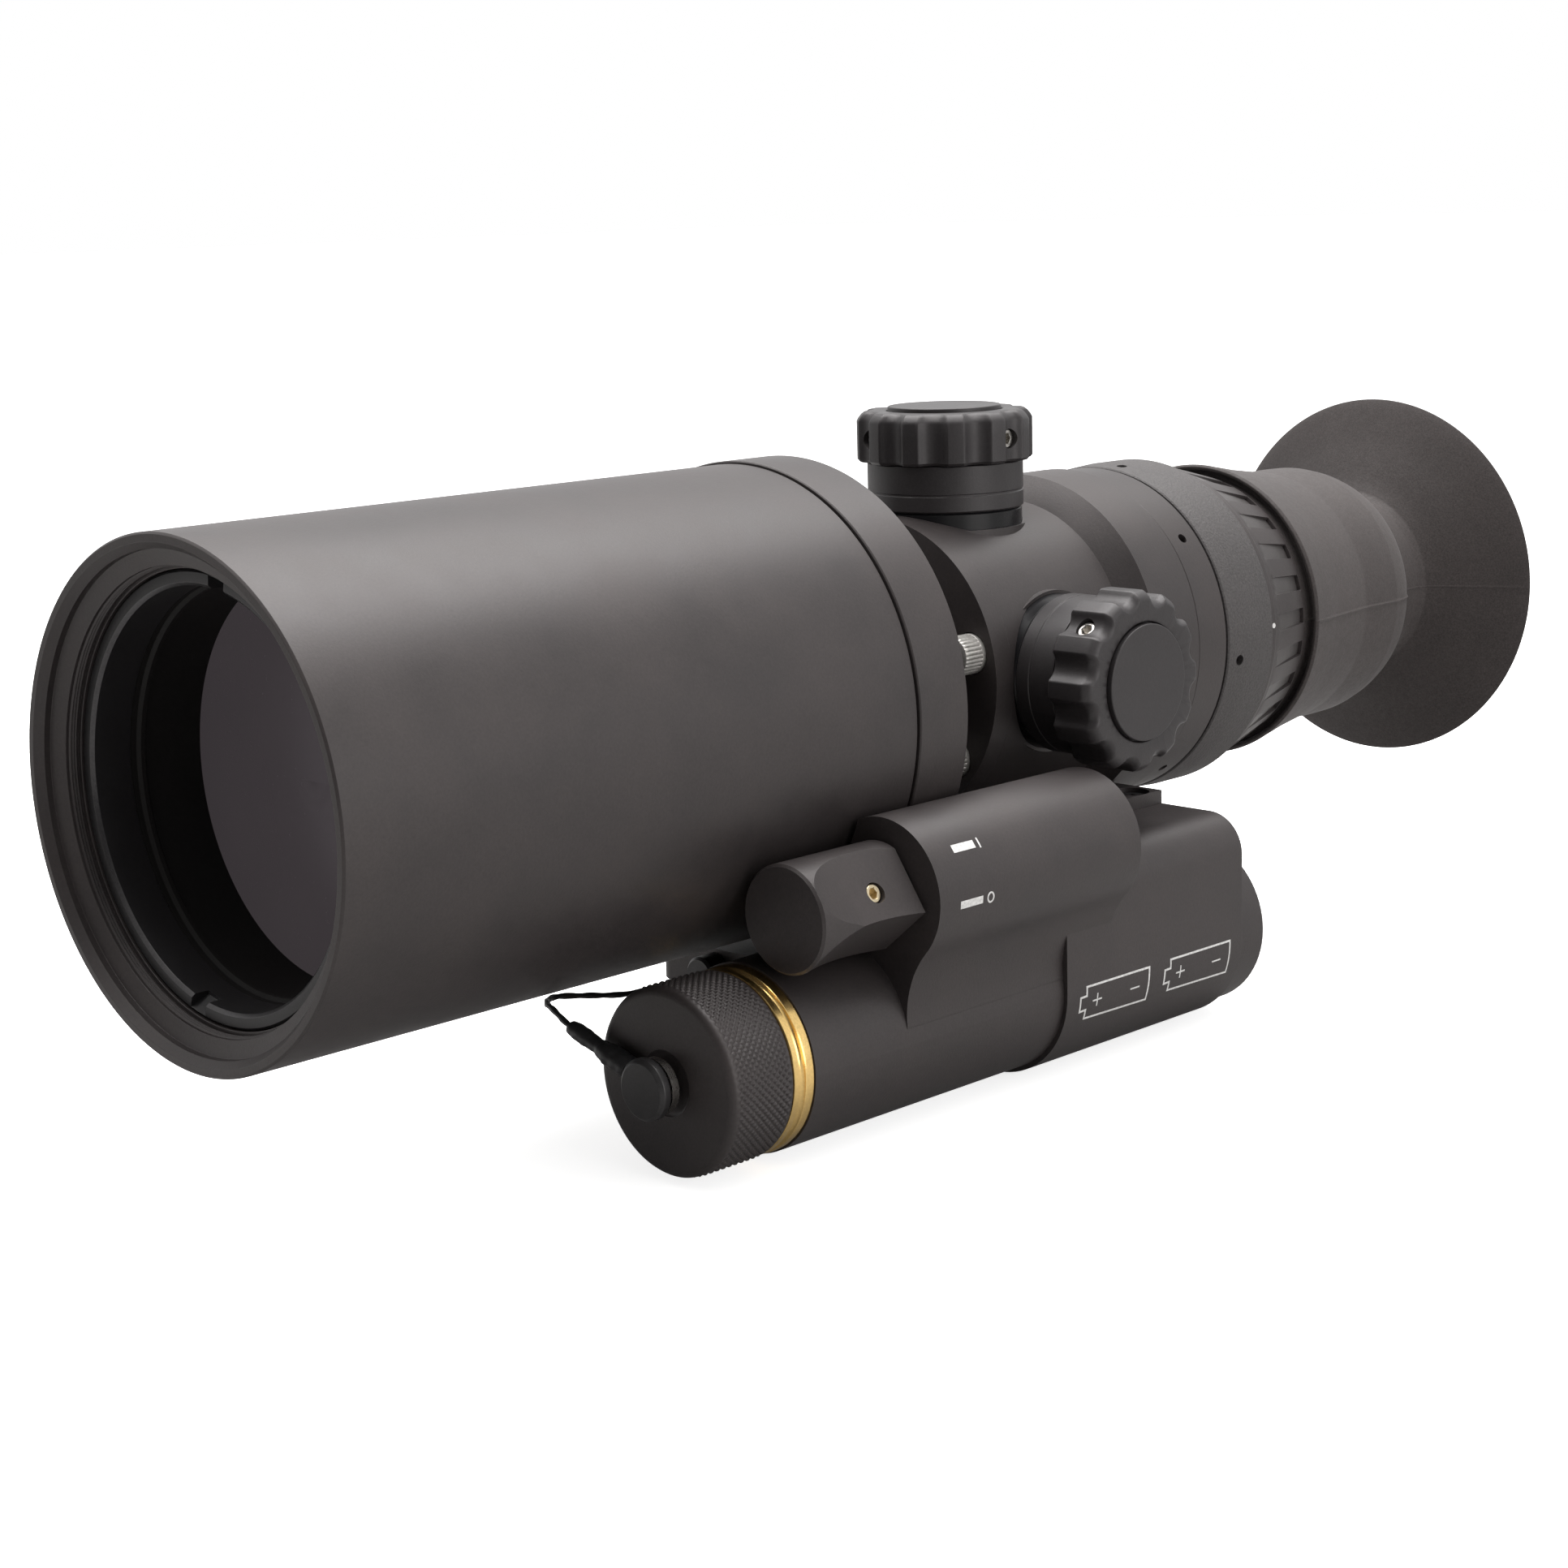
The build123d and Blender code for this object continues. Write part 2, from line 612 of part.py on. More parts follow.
# web between switch barrel and battery tube, (x, z): a concave outer arc, then the way back
WEB_ARC = [(44.88, -28.69), (41.87, -33.86), (41.2, -39.8)]
WEB_RETURN = [
    WEB_ARC[2], (41.0, -41.0), (BATTERY_X, BATTERY_Z + 2.0), (20.0, -36.0), (22.0, -31.0),
    (27.5, -26.0), (30.0, -20.0), SWITCH, WEB_ARC[0],
]
SWITCH_WIRE_X, SWITCH_WIRE_Z = SWITCH_X - 1.0, -28.0


def web():
    arc = ThreePointArc(*[(x, SWITCH_Y0, z) for x, z in WEB_ARC])
    back = Polyline(*[(x, SWITCH_Y0, z) for x, z in WEB_RETURN])
    face = make_face(Wire(arc.edges() + back.edges()))
    return extrude(face, amount=SWITCH_Y1 - SWITCH_Y0, dir=(0, 1, 0))


def rear_block():
    """Block with a flat outer wall, flat top and rounded upper outer edge."""
    block = prism_y([(BLOCK_X0, BATTERY_Z), (BLOCK_X1, BATTERY_Z), (BLOCK_X1, BLOCK_TOP),
                     (BLOCK_X0, BLOCK_TOP)], BLOCK_Y0, BLOCK_Y1)
    edges = block.edges().filter_by(Axis.Y)
    shoulder = edges.sort_by(lambda edge: -(edge.center().X + edge.center().Z))[0]
    return fillet(shoulder, BLOCK_FILLET)


@piece
def power_housing():
    housing = cyl_y(SWITCH_R, SWITCH_Y0, SWITCH_Y1, *SWITCH)
    housing += web()
    housing += cyl_y(TUBE_R, -73.6, 27.0, *BATTERY)
    housing += rear_block()
    housing += cyl_y(TUBE_REAR_R, BLOCK_Y0, BLOCK_Y1, *BATTERY)
    # pad below the wing that takes the mounting screws
    housing += box(19.2, 28.0, -11.5, BLOCK_Y1, -33.0, WING_BOTTOM - 0.05)
    # keep clear of the barrel, its flange, the base foot and the wing
    housing -= cyl_y(BARREL_R + 0.9, -90, -42.6)
    housing -= cyl_y(FLANGE_R + 0.9, -46.0, -33.4)
    housing -= rev_y([(0, -34.5), (34.0, -34.5), (33.2, -33.4), (20.0, -23.4), (0, -23.4)])
    housing -= box(-20, BASE_HALF + 0.3, -90, 40, -70, -10)
    housing -= box(-20, WING_HALF + 0.04, -11.6, 30, WING_BOTTOM - 0.04, -10)
    # battery bore, brass ring seat, switch bore
    housing -= cyl_y(TUBE_BORE_R, -80, 22.8, *BATTERY)
    housing -= cyl_y(11.55, -80, -66.5, *BATTERY)
    housing -= cyl_y(SWITCH_BORE_R, SWITCH_Y0 - 1, -17.0, *SWITCH)
    # circuit board chamber and wire openings
    housing -= box(28.6, 38.4, -10.0, 16.0, -31.4, -26.2)
    housing -= cyl_y(WIRE_HOLE_R, -20.0, -9.0, SWITCH_WIRE_X, SWITCH_WIRE_Z)
    housing -= box(26.0, 30.0, WIRE_Y - 2.2, WIRE_Y + 1, -27.7, -26.2)
    # small vertical hole below the chamber
    housing -= cyl_z(1.0, -34.5, -30.0, 36.0, 12.0)
    for x, y in POWER_SCREWS:
        housing -= cyl_z(TAP_R, -32.2, -27.0, x, y)
    # rear edge break of the tube
    keep = rev_y([(0, 25.9), (TUBE_R + 0.1, 25.9), (TUBE_R - 1.0, 27.0), (0, 27.1)], *BATTERY)
    return housing - (cyl_y(16.0, 26.0, 28.0, *BATTERY) - keep)


@piece
def power_housing_screws():
    return [cap_screw_z(x, y, head=(-24.18, -21.6), shank=(-31.8, -24.1),
                        socket=(-23.2, -21.0)) for x, y in POWER_SCREWS]


@piece
def brass_thread_ring():
    """Stepped ring in the mouth of the battery tube."""
    return rev_y([
        (9.9, -85.6), (11.0, -85.6), (11.2, -85.3), (11.2, -77.3), (12.7, -77.3),
        (12.85, -77.1), (12.85, -76.2), (12.3, -75.9), (12.3, -75.2), (12.6, -75.0),
        (12.95, -74.8), (12.95, -73.65), (11.5, -73.65), (11.5, -66.6), (9.9, -66.6),
    ], *BATTERY)


# ---------------------------------------------------------------- battery cap and tether

CAP_Y0, CAP_Y1 = -88.4, -77.5
BATTERY_CAP_R = 13.07
LUG_ANGLE = 163.0           # about the stud, from +X towards +Z
LUG_Y0, LUG_Y1 = -90.75, -89.55
LUG_Y = (LUG_Y0 + LUG_Y1) / 2
ON_LUG = Pos(BATTERY_X, 0, BATTERY_Z) * spin(LUG_ANGLE)


@piece
def battery_cap():
    """Cup with a skirt and a stud hole in the middle."""
    return rev_y([
        (1.55, CAP_Y0), (12.1, CAP_Y0), (BATTERY_CAP_R, CAP_Y0 + 0.9),
        (BATTERY_CAP_R, CAP_Y1 - 0.5), (BATTERY_CAP_R - 0.4, CAP_Y1), (11.25, CAP_Y1),
        (11.25, -85.6), (10.95, -86.0), (10.95, -86.6), (9.6, -86.6), (9.6, -84.6),
        (1.55, -84.6),
    ], *BATTERY)


@piece
def tether_stud():
    """Stud through the cap: head, shoulder, wide tail."""
    return rev_y([
        (0, -92.9), (3.9, -92.9), (4.25, -92.5), (4.25, -91.25), (1.9, -91.25),
        (1.9, CAP_Y0 - 0.02), (1.5, CAP_Y0 - 0.02), (1.5, -84.55), (3.0, -84.55),
        (3.0, -83.9), (0, -83.9),
    ], *BATTERY)


@piece
def tether_lug():
    """Ring around the stud's shoulder with a tongue into the sleeve."""
    lug = tube_y(3.9, 2.0, LUG_Y0, LUG_Y1)
    lug += box(2.4, 4.6, LUG_Y0, LUG_Y1, -1.2, 1.2)
    lug += cyl_x(1.0, 3.9, 8.6, y=LUG_Y)
    return ON_LUG * (lug - cyl_y(2.0, -92, -88))


@piece
def tether_sleeve():
    sleeve = cyl_x(1.75, 5.0, 17.2, y=LUG_Y)
    sleeve -= cyl_x(1.03, 4.0, 9.0, y=LUG_Y)
    sleeve -= cyl_x(0.62, 8.0, 18.0, y=LUG_Y)
    return ON_LUG * sleeve


@piece
def tether_cable():
    """Cable from the sleeve, round under the barrel and back to the nose of the base."""
    angle = radians(LUG_ANGLE)
    lug_dir = (cos(angle), 0, sin(angle))
    in_sleeve = [(BATTERY_X + d * lug_dir[0], LUG_Y, BATTERY_Z + d * lug_dir[2])
                 for d in (9.2, 17.6)]
    points = in_sleeve + [
        (7.4, -89.3, -35.9), (3.1, -87.0, -36.0), (2.2, -83.0, -36.2), (2.6, -78.0, -37.2),
        (1.6, -71.0, -38.6), (0.5, -64.0, -39.4), (0.0, -57.0, ANCHOR_Z),
    ]
    path = Spline(*points, tangents=[lug_dir, (0, 1, 0)])
    path = path + Line(points[-1], (0.0, -45.0, ANCHOR_Z))
    return sweep_round(0.42, path, points[0], lug_dir)


@piece
def tether_anchor():
    """Hollow headed pin that anchors the cable in the nose of the base."""
    seat_y, tail_y = BASE_Y0 - 0.02, BASE_Y0 + 7.5
    return rev_y([
        (0.5, -55.6), (2.4, -55.6), (2.8, -55.2), (2.8, seat_y), (1.0, seat_y),
        (1.0, tail_y), (0.5, tail_y),
    ], 0, ANCHOR_Z)


# ---------------------------------------------------------------- batteries and contacts

CELL_Y0, CELL_LENGTH, CELL_R = -79.4, 50.3, 7.2


def aa_cell(y0):
    """AA cell, nub towards -Y."""
    y1 = y0 + CELL_LENGTH
    return rev_y([
        (0, y0), (2.7, y0), (2.7, y0 + 1.3), (CELL_R - 0.3, y0 + 1.3), (CELL_R, y0 + 1.6),
        (CELL_R, y1 - 0.3), (CELL_R - 0.3, y1), (0, y1),
    ], *BATTERY)


@piece
def battery_cell_front():
    return aa_cell(CELL_Y0)


@piece
def battery_cell_rear():
    return aa_cell(CELL_Y0 + CELL_LENGTH + 0.05)


@piece
def battery_sleeve():
    return tube_y(9.7, 7.4, -76.0, 21.4, *BATTERY)


@piece
def rear_contact():
    return rev_y([
        (0, 21.5), (9.5, 21.5), (9.5, 22.3), (2.2, 22.3), (2.2, 22.75), (0, 22.75),
    ], *BATTERY)


@piece
def battery_cap_spring():
    """Three coils, turned so that they run towards +Y."""
    coil = Helix(pitch=1.25, height=3.75, radius=3.6)
    spring = sweep_round(0.32, coil, coil @ 0, coil % 0)
    return Pos(BATTERY_X, -83.3, BATTERY_Z) * Rot(-90, 0, 0) * spring


# ---------------------------------------------------------------- switch

KNOB_R, KNOB_Y0, KNOB_Y1 = 7.5, -74.5, -56.2
SCALLOP_R, SCALLOP_DEPTH, SCALLOP_Y = 30.0, 2.0, -63.5
KNOB_SCREW_Y = -62.3
ON_SWITCH = Pos(SWITCH_X, 0, SWITCH_Z)
ON_KNOB = ON_SWITCH * spin(22.6)    # direction of the shaft flat and the set screw


@piece
def rotary_switch():
    """Switch body with a bushing bore at the front."""
    body_r, front, rear = SWITCH_BORE_R - 0.03, SWITCH_Y0 + 0.4, -19.5
    return rev_y([
        (3.05, front), (body_r, front), (body_r, rear), (0, rear), (0, -44.0), (3.05, -44.0),
    ], *SWITCH)


@piece
def switch_shaft():
    return ON_KNOB * (cyl_y(3.0, -71.5, -44.1) - box(2.3, 4, -71.6, -58.0, -4, 4))


def scallop(angle):
    """A large cylinder lying across the knob's axis, deepest at SCALLOP_Y."""
    centre_r = KNOB_R - SCALLOP_DEPTH + SCALLOP_R
    return ON_SWITCH * spin(angle) * Pos(centre_r, SCALLOP_Y, 0) * cyl_z(SCALLOP_R, -20, 20)


@piece
def switch_knob():
    """Drum with a swell at the rear and two finger scallops that leave a ridge."""
    knob = rev_y([
        (0, KNOB_Y0), (KNOB_R - 0.35, KNOB_Y0), (KNOB_R, KNOB_Y0 + 0.35), (KNOB_R, KNOB_Y1),
        (0, KNOB_Y1),
    ], *SWITCH)
    swell = rev_y([(0, -68.5), (KNOB_R - 0.01, -68.5), (9.0, KNOB_Y1), (0, KNOB_Y1)])
    spokes = [(14 * cos(radians(a)), 14 * sin(radians(a))) for a in (33, -8, -49)]
    sector = prism_y([(0, 0)] + spokes, -69, -55)
    knob += ON_SWITCH * (swell & sector)
    knob -= scallop(34.0)
    knob -= scallop(-50.0)
    knob -= ON_KNOB * cyl_x(1.5, 2.6, 10.0, y=KNOB_SCREW_Y)
    return knob - cyl_y(3.03, -71.6, KNOB_Y1 + 1, *SWITCH)


@piece
def switch_knob_set_screw():
    screw = cyl_x(1.46, 2.45, 5.4, y=KNOB_SCREW_Y) - cyl_x(0.75, 4.2, 6.0, y=KNOB_SCREW_Y)
    return ON_KNOB * screw


# ---------------------------------------------------------------- electronics

@piece
def circuit_board():
    """Board with two components on top."""
    board = box(28.9, 38.1, -9.0, 15.0, -30.6, -29.0)
    board += box(30.5, 35.5, -2.0, 4.0, -29.0, -27.6)
    return board + box(31.0, 36.5, 8.5, 12.0, -29.0, -28.0)


@piece
def wiring_harness():
    """One wire from the switch to the board, one from the board up into the body."""
    switch_wire = Spline(
        (SWITCH_WIRE_X, -19.2, SWITCH_WIRE_Z), (SWITCH_WIRE_X, -13.0, SWITCH_WIRE_Z),
        (34.5, -8.0, -28.2), (33.6, -5.0, -28.3),
        tangents=[(0, 1, 0), (-0.2, 1, -0.1)])
    body_wire = Spline(
        (30.0, 8.2, -28.3), (29.7, 10.6, -27.5), (28.2, 12.2, -27.0), (25.6, WIRE_Y, -26.8),
        (12.0, WIRE_Y, -26.4), (8.8, WIRE_Y, -25.4), (WIRE_X, WIRE_Y, -22.5),
        (WIRE_X, WIRE_Y, -19.4),
        tangents=[(0, 1, 0.2), (0, 0, 1)])
    return [sweep_round(0.55, path, path @ 0, path % 0) for path in (switch_wire, body_wire)]


os.makedirs("parts", exist_ok=True)
for build in PIECES:
    save(build.__name__, build())
for turret in TURRETS:
    save_turret(*turret)
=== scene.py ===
import json
import math
import random
import bpy
import bmesh
from mathutils import Matrix, Vector, Euler, noise


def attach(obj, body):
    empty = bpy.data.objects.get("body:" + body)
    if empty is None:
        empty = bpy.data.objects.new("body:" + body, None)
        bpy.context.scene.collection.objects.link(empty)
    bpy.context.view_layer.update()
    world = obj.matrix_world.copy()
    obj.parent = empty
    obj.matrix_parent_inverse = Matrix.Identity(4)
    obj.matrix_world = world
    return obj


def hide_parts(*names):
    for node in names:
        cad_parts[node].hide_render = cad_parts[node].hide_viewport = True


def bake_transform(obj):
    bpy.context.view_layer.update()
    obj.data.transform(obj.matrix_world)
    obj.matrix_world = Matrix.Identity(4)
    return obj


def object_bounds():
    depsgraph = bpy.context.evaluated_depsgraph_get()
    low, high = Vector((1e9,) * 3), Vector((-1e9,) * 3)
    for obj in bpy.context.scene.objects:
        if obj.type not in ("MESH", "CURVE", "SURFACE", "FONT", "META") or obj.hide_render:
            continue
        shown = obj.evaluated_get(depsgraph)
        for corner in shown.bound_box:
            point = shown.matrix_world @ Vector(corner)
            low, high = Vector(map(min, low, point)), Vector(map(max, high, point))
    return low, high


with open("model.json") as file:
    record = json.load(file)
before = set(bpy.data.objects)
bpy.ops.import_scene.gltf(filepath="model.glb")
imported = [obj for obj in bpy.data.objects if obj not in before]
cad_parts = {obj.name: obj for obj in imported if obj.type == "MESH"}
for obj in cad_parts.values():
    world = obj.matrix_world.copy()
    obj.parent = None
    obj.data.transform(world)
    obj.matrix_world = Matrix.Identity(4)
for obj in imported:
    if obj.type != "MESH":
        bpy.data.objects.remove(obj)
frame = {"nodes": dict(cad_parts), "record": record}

CAD_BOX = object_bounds()
random.seed(7)
MM = 0.001
OPT = 44.0                      # optical axis height, mm
BX, BZ = 28.16, -42.33          # battery tube axis, from the optical axis
SX, SZ = 37.0, -21.6            # switch axis
scene = bpy.context.scene
cos, sin, rad, pi = math.cos, math.sin, math.radians, math.pi


# ------------------------------------------------------------------ materials
class NT:
    """Small helper around one node tree."""

    def __init__(self, name, world=False):
        if world:
            self.m = bpy.data.worlds.new(name)
        else:
            self.m = bpy.data.materials.new(name)
        self.m.use_nodes = True
        self.t = self.m.node_tree
        self.t.nodes.clear()
        self.l = self.t.links

    def n(self, kind, **props):
        node = self.t.nodes.new(kind)
        for k, v in props.items():
            setattr(node, k, v)
        return node

    def put(self, node, **inputs):
        for k, v in inputs.items():
            k = k.replace("_", " ")
            if hasattr(v, "is_output"):
                self.l.new(v, node.inputs[k])
            else:
                node.inputs[k].default_value = v
        return node

    def math(self, op, a, b=None, clamp=False):
        node = self.n("ShaderNodeMath", operation=op, use_clamp=clamp)
        for i, v in enumerate((a, b)):
            if v is None:
                continue
            if hasattr(v, "is_output"):
                self.l.new(v, node.inputs[i])
            else:
                node.inputs[i].default_value = v
        return node.outputs[0]

    def coords(self, scale=(1, 1, 1)):
        tc = self.n("ShaderNodeTexCoord")
        mp = self.n("ShaderNodeMapping")
        mp.inputs["Scale"].default_value = scale
        self.l.new(tc.outputs["Object"], mp.inputs["Vector"])
        return mp.outputs[0]

    def noise(self, vec, scale, detail=2.0, rough=0.5, dist=0.0):
        node = self.n("ShaderNodeTexNoise")
        node.inputs["Scale"].default_value = scale
        node.inputs["Detail"].default_value = detail
        node.inputs["Roughness"].default_value = rough
        node.inputs["Distortion"].default_value = dist
        self.l.new(vec, node.inputs["Vector"])
        return node.outputs["Fac"]

    def ramp(self, fac, stops):
        node = self.n("ShaderNodeValToRGB")
        el = node.color_ramp.elements
        while len(el) > 1:
            el.remove(el[-1])
        el[0].position, el[0].color = stops[0][0], (*stops[0][1], 1)
        for p, c in stops[1:]:
            e = el.new(p)
            e.color = (*c, 1)
        self.l.new(fac, node.inputs[0])
        return node.outputs[0]

    def maprange(self, v, a, b, c, d, clamp=True):
        node = self.n("ShaderNodeMapRange", clamp=clamp)
        self.l.new(v, node.inputs[0])
        for i, x in enumerate((a, b, c, d)):
            node.inputs[i + 1].default_value = x
        return node.outputs[0]

    def mix(self, fac, a, b, blend="MIX"):
        node = self.n("ShaderNodeMix", data_type="RGBA", blend_type=blend)
        for key, v in ((0, fac), (6, a), (7, b)):
            if hasattr(v, "is_output"):
                self.l.new(v, node.inputs[key])
            elif key == 0:
                node.inputs[0].default_value = v
            else:
                node.inputs[key].default_value = (*v, 1) if len(v) == 3 else v
        return node.outputs[2]


def edge_mask(k, radius_mm, strength):
    """1 on worn outer edges, 0 elsewhere."""
    bev = k.n("ShaderNodeBevel", samples=4)
    bev.inputs["Radius"].default_value = radius_mm * MM
    geo = k.n("ShaderNodeNewGeometry")
    dot = k.n("ShaderNodeVectorMath", operation="DOT_PRODUCT")
    k.l.new(bev.outputs[0], dot.inputs[0])
    k.l.new(geo.outputs["Normal"], dot.inputs[1])
    return k.maprange(dot.outputs["Value"], 0.985, 0.90, 0.0, strength)


def surface(name, base, rough=0.5, metallic=0.0, mottle=0.12, mottle_scale=70.0, speck=0.10, speck_scale=2600.0,
            blast=0.25, blast_scale=2800.0, blast_dist=0.00006, turn=0.0, turn_axis="Y", wear=0.0, wear_color=(0.35, 0.34, 0.33),
            spec=0.5, coat=0.0, coat_rough=0.1, sheen=0.0, rough_var=0.06, edge=0.12, tint=None, spec_tint=None):
    """Blasted, turned or moulded opaque surface: colour mottling, grain, turning lines, worn edges, all from noise."""
    k = NT(name)
    out = k.n("ShaderNodeOutputMaterial")
    b = k.n("ShaderNodeBsdfPrincipled")
    k.l.new(b.outputs[0], out.inputs[0])
    v = k.coords()
    low = k.noise(v, mottle_scale, 4.0, 0.6)
    fine = k.noise(v, speck_scale, 3.0, 0.65)
    dark = tuple(c * (1 - mottle) for c in base)
    light = tuple(min(1, c * (1 + mottle)) for c in base)
    if tint:
        light = tuple(min(1, c * (1 + mottle)) for c in tint)
    col = k.mix(k.maprange(low, 0.3, 0.7, 0, 1), dark, light)
    sp = k.mix(1.0, col, k.ramp(fine, [(0.3, (1 - speck,) * 3), (0.7, (1 + speck,) * 3)]), "MULTIPLY")
    col = sp
    r = k.maprange(low, 0.25, 0.75, rough - rough_var, rough + rough_var)
    height = k.noise(v, blast_scale, 2.0, 0.7)
    bump = k.n("ShaderNodeBump")
    bump.inputs["Strength"].default_value = blast
    bump.inputs["Distance"].default_value = blast_dist
    if turn > 0:
        s = {"Y": (120, 9000, 120), "Z": (120, 120, 9000), "X": (9000, 120, 120)}[turn_axis]
        tv = k.coords(s)
        lines = k.noise(tv, 1.0, 3.0, 0.7)
        height = k.math("ADD", height, k.math("MULTIPLY", lines, turn))
        r = k.math("ADD", r, k.math("MULTIPLY", k.math("SUBTRACT", lines, 0.5), 0.10 * turn))
    k.l.new(height, bump.inputs["Height"])
    if wear > 0:
        brk = k.noise(v, 500.0, 4.0, 0.7)
        m = k.math("MULTIPLY", edge_mask(k, edge, 1.0), k.maprange(brk, 0.40, 0.62, 0.15, 1.0))
        m = k.math("MULTIPLY", m, wear, clamp=True)
        col = k.mix(m, col, wear_color)
        r = k.math("SUBTRACT", r, k.math("MULTIPLY", m, 0.12))
    k.put(b, Metallic=metallic)
    k.l.new(col, b.inputs["Base Color"])
    k.l.new(r, b.inputs["Roughness"])
    k.l.new(bump.outputs[0], b.inputs["Normal"])
    b.inputs["Specular IOR Level"].default_value = spec
    b.inputs["Coat Weight"].default_value = coat
    b.inputs["Coat Roughness"].default_value = coat_rough
    b.inputs["Sheen Weight"].default_value = sheen
    b.inputs["Sheen Roughness"].default_value = 0.5
    if spec_tint:
        b.inputs["Specular Tint"].default_value = (*spec_tint, 1)
    k.m.diffuse_color = (*base, 1)
    return k.m


def glass_dark_painted_glow(name):
    """Coated objective glass against a dark tube: an even, very dark purple grey with faint dust, its colour also
    painted on as a faint glow through emission.
    """
    k = NT(name)
    out = k.n("ShaderNodeOutputMaterial")
    b = k.n("ShaderNodeBsdfPrincipled")
    k.l.new(b.outputs[0], out.inputs[0])
    v = k.coords()
    dust = k.noise(v, 900.0, 6.0, 0.75)
    low = k.noise(v, 30.0, 3.0, 0.5)
    col = k.mix(k.maprange(low, 0.3, 0.7, 0, 1), (0.0355, 0.0305, 0.0335), (0.0405, 0.0345, 0.0375))
    col = k.mix(k.maprange(dust, 0.62, 0.80, 0.0, 0.35), col, (0.060, 0.054, 0.058))
    k.l.new(k.mix(1.0, col, (0.3, 0.3, 0.3), "MULTIPLY"), b.inputs["Base Color"])
    # painted glow: the glass colour goes into emission at strength 1, light that the lens does not give off
    k.l.new(col, b.inputs["Emission Color"])
    b.inputs["Emission Strength"].default_value = 1.0
    k.l.new(k.maprange(dust, 0.35, 0.75, 0.20, 0.30), b.inputs["Roughness"])
    b.inputs["Specular IOR Level"].default_value = 0.12
    b.inputs["Specular Tint"].default_value = (0.85, 0.75, 0.95, 1)
    bump = k.n("ShaderNodeBump")
    bump.inputs["Strength"].default_value = 0.02
    bump.inputs["Distance"].default_value = 0.00001
    k.l.new(dust, bump.inputs["Height"])
    k.l.new(bump.outputs[0], b.inputs["Normal"])
    return k.m


def glass_clear(name, tint):
    k = NT(name)
    out = k.n("ShaderNodeOutputMaterial")
    b = k.n("ShaderNodeBsdfPrincipled")
    k.l.new(b.outputs[0], out.inputs[0])
    v = k.coords()
    dust = k.noise(v, 700.0, 5.0, 0.7)
    k.l.new(k.mix(dust, tint, tuple(c * 0.93 for c in tint)), b.inputs["Base Color"])
    k.l.new(k.maprange(dust, 0.4, 0.8, 0.0, 0.05), b.inputs["Roughness"])
    b.inputs["Transmission Weight"].default_value = 1.0
    b.inputs["IOR"].default_value = 1.52
    return k.m


def pcb_mat(name):
    k = NT(name)
    out = k.n("ShaderNodeOutputMaterial")
    b = k.n("ShaderNodeBsdfPrincipled")
    k.l.new(b.outputs[0], out.inputs[0])
    v = k.coords((700, 700, 700))
    br = k.n("ShaderNodeTexBrick")
    br.inputs["Scale"].default_value = 1.0
    br.inputs["Mortar Size"].default_value = 0.06
    br.inputs["Color1"].default_value = (0.01, 0.09, 0.04, 1)
    br.inputs["Color2"].default_value = (0.012, 0.11, 0.05, 1)
    br.inputs["Mortar"].default_value = (0.03, 0.2, 0.09, 1)
    k.l.new(v, br.inputs["Vector"])
    k.l.new(br.outputs["Color"], b.inputs["Base Color"])
    n = k.noise(k.coords(), 1500.0, 3.0, 0.6)
    k.l.new(k.maprange(n, 0.3, 0.7, 0.25, 0.45), b.inputs["Roughness"])
    bump = k.n("ShaderNodeBump")
    bump.inputs["Strength"].default_value = 0.3
    bump.inputs["Distance"].default_value = 0.00003
    k.l.new(br.outputs["Fac"], bump.inputs["Height"])
    k.l.new(bump.outputs[0], b.inputs["Normal"])
    return k.m


def rubber_mat(name, base, speck=0.28):
    """Moulded rubber: fine pale and dark specks, soft sheen, slight flow mottling."""
    k = NT(name)
    out = k.n("ShaderNodeOutputMaterial")
    b = k.n("ShaderNodeBsdfPrincipled")
    k.l.new(b.outputs[0], out.inputs[0])
    v = k.coords()
    low = k.noise(v, 55.0, 4.0, 0.6)
    fine = k.noise(v, 3200.0, 2.0, 0.8)
    mid = k.noise(v, 900.0, 3.0, 0.7)
    col = k.mix(k.maprange(low, 0.3, 0.7, 0, 1), tuple(c * 0.88 for c in base), tuple(c * 1.12 for c in base))
    col = k.mix(1.0, col, k.ramp(fine, [(0.32, (1 - speck,) * 3), (0.5, (1, 1, 1)), (0.68, (1 + speck,) * 3)]), "MULTIPLY")
    col = k.mix(k.maprange(mid, 0.62, 0.75, 0.0, 0.25), col, tuple(min(1, c * 1.6) for c in base))
    k.l.new(col, b.inputs["Base Color"])
    k.l.new(k.maprange(mid, 0.3, 0.7, 0.62, 0.78), b.inputs["Roughness"])
    b.inputs["Specular IOR Level"].default_value = 0.35
    b.inputs["Sheen Weight"].default_value = 0.12
    b.inputs["Sheen Roughness"].default_value = 0.45
    bump = k.n("ShaderNodeBump")
    bump.inputs["Strength"].default_value = 0.45
    bump.inputs["Distance"].default_value = 0.00008
    k.l.new(k.math("ADD", k.math("MULTIPLY", fine, 0.6), k.math("MULTIPLY", mid, 0.5)), bump.inputs["Height"])
    k.l.new(bump.outputs[0], b.inputs["Normal"])
    return k.m


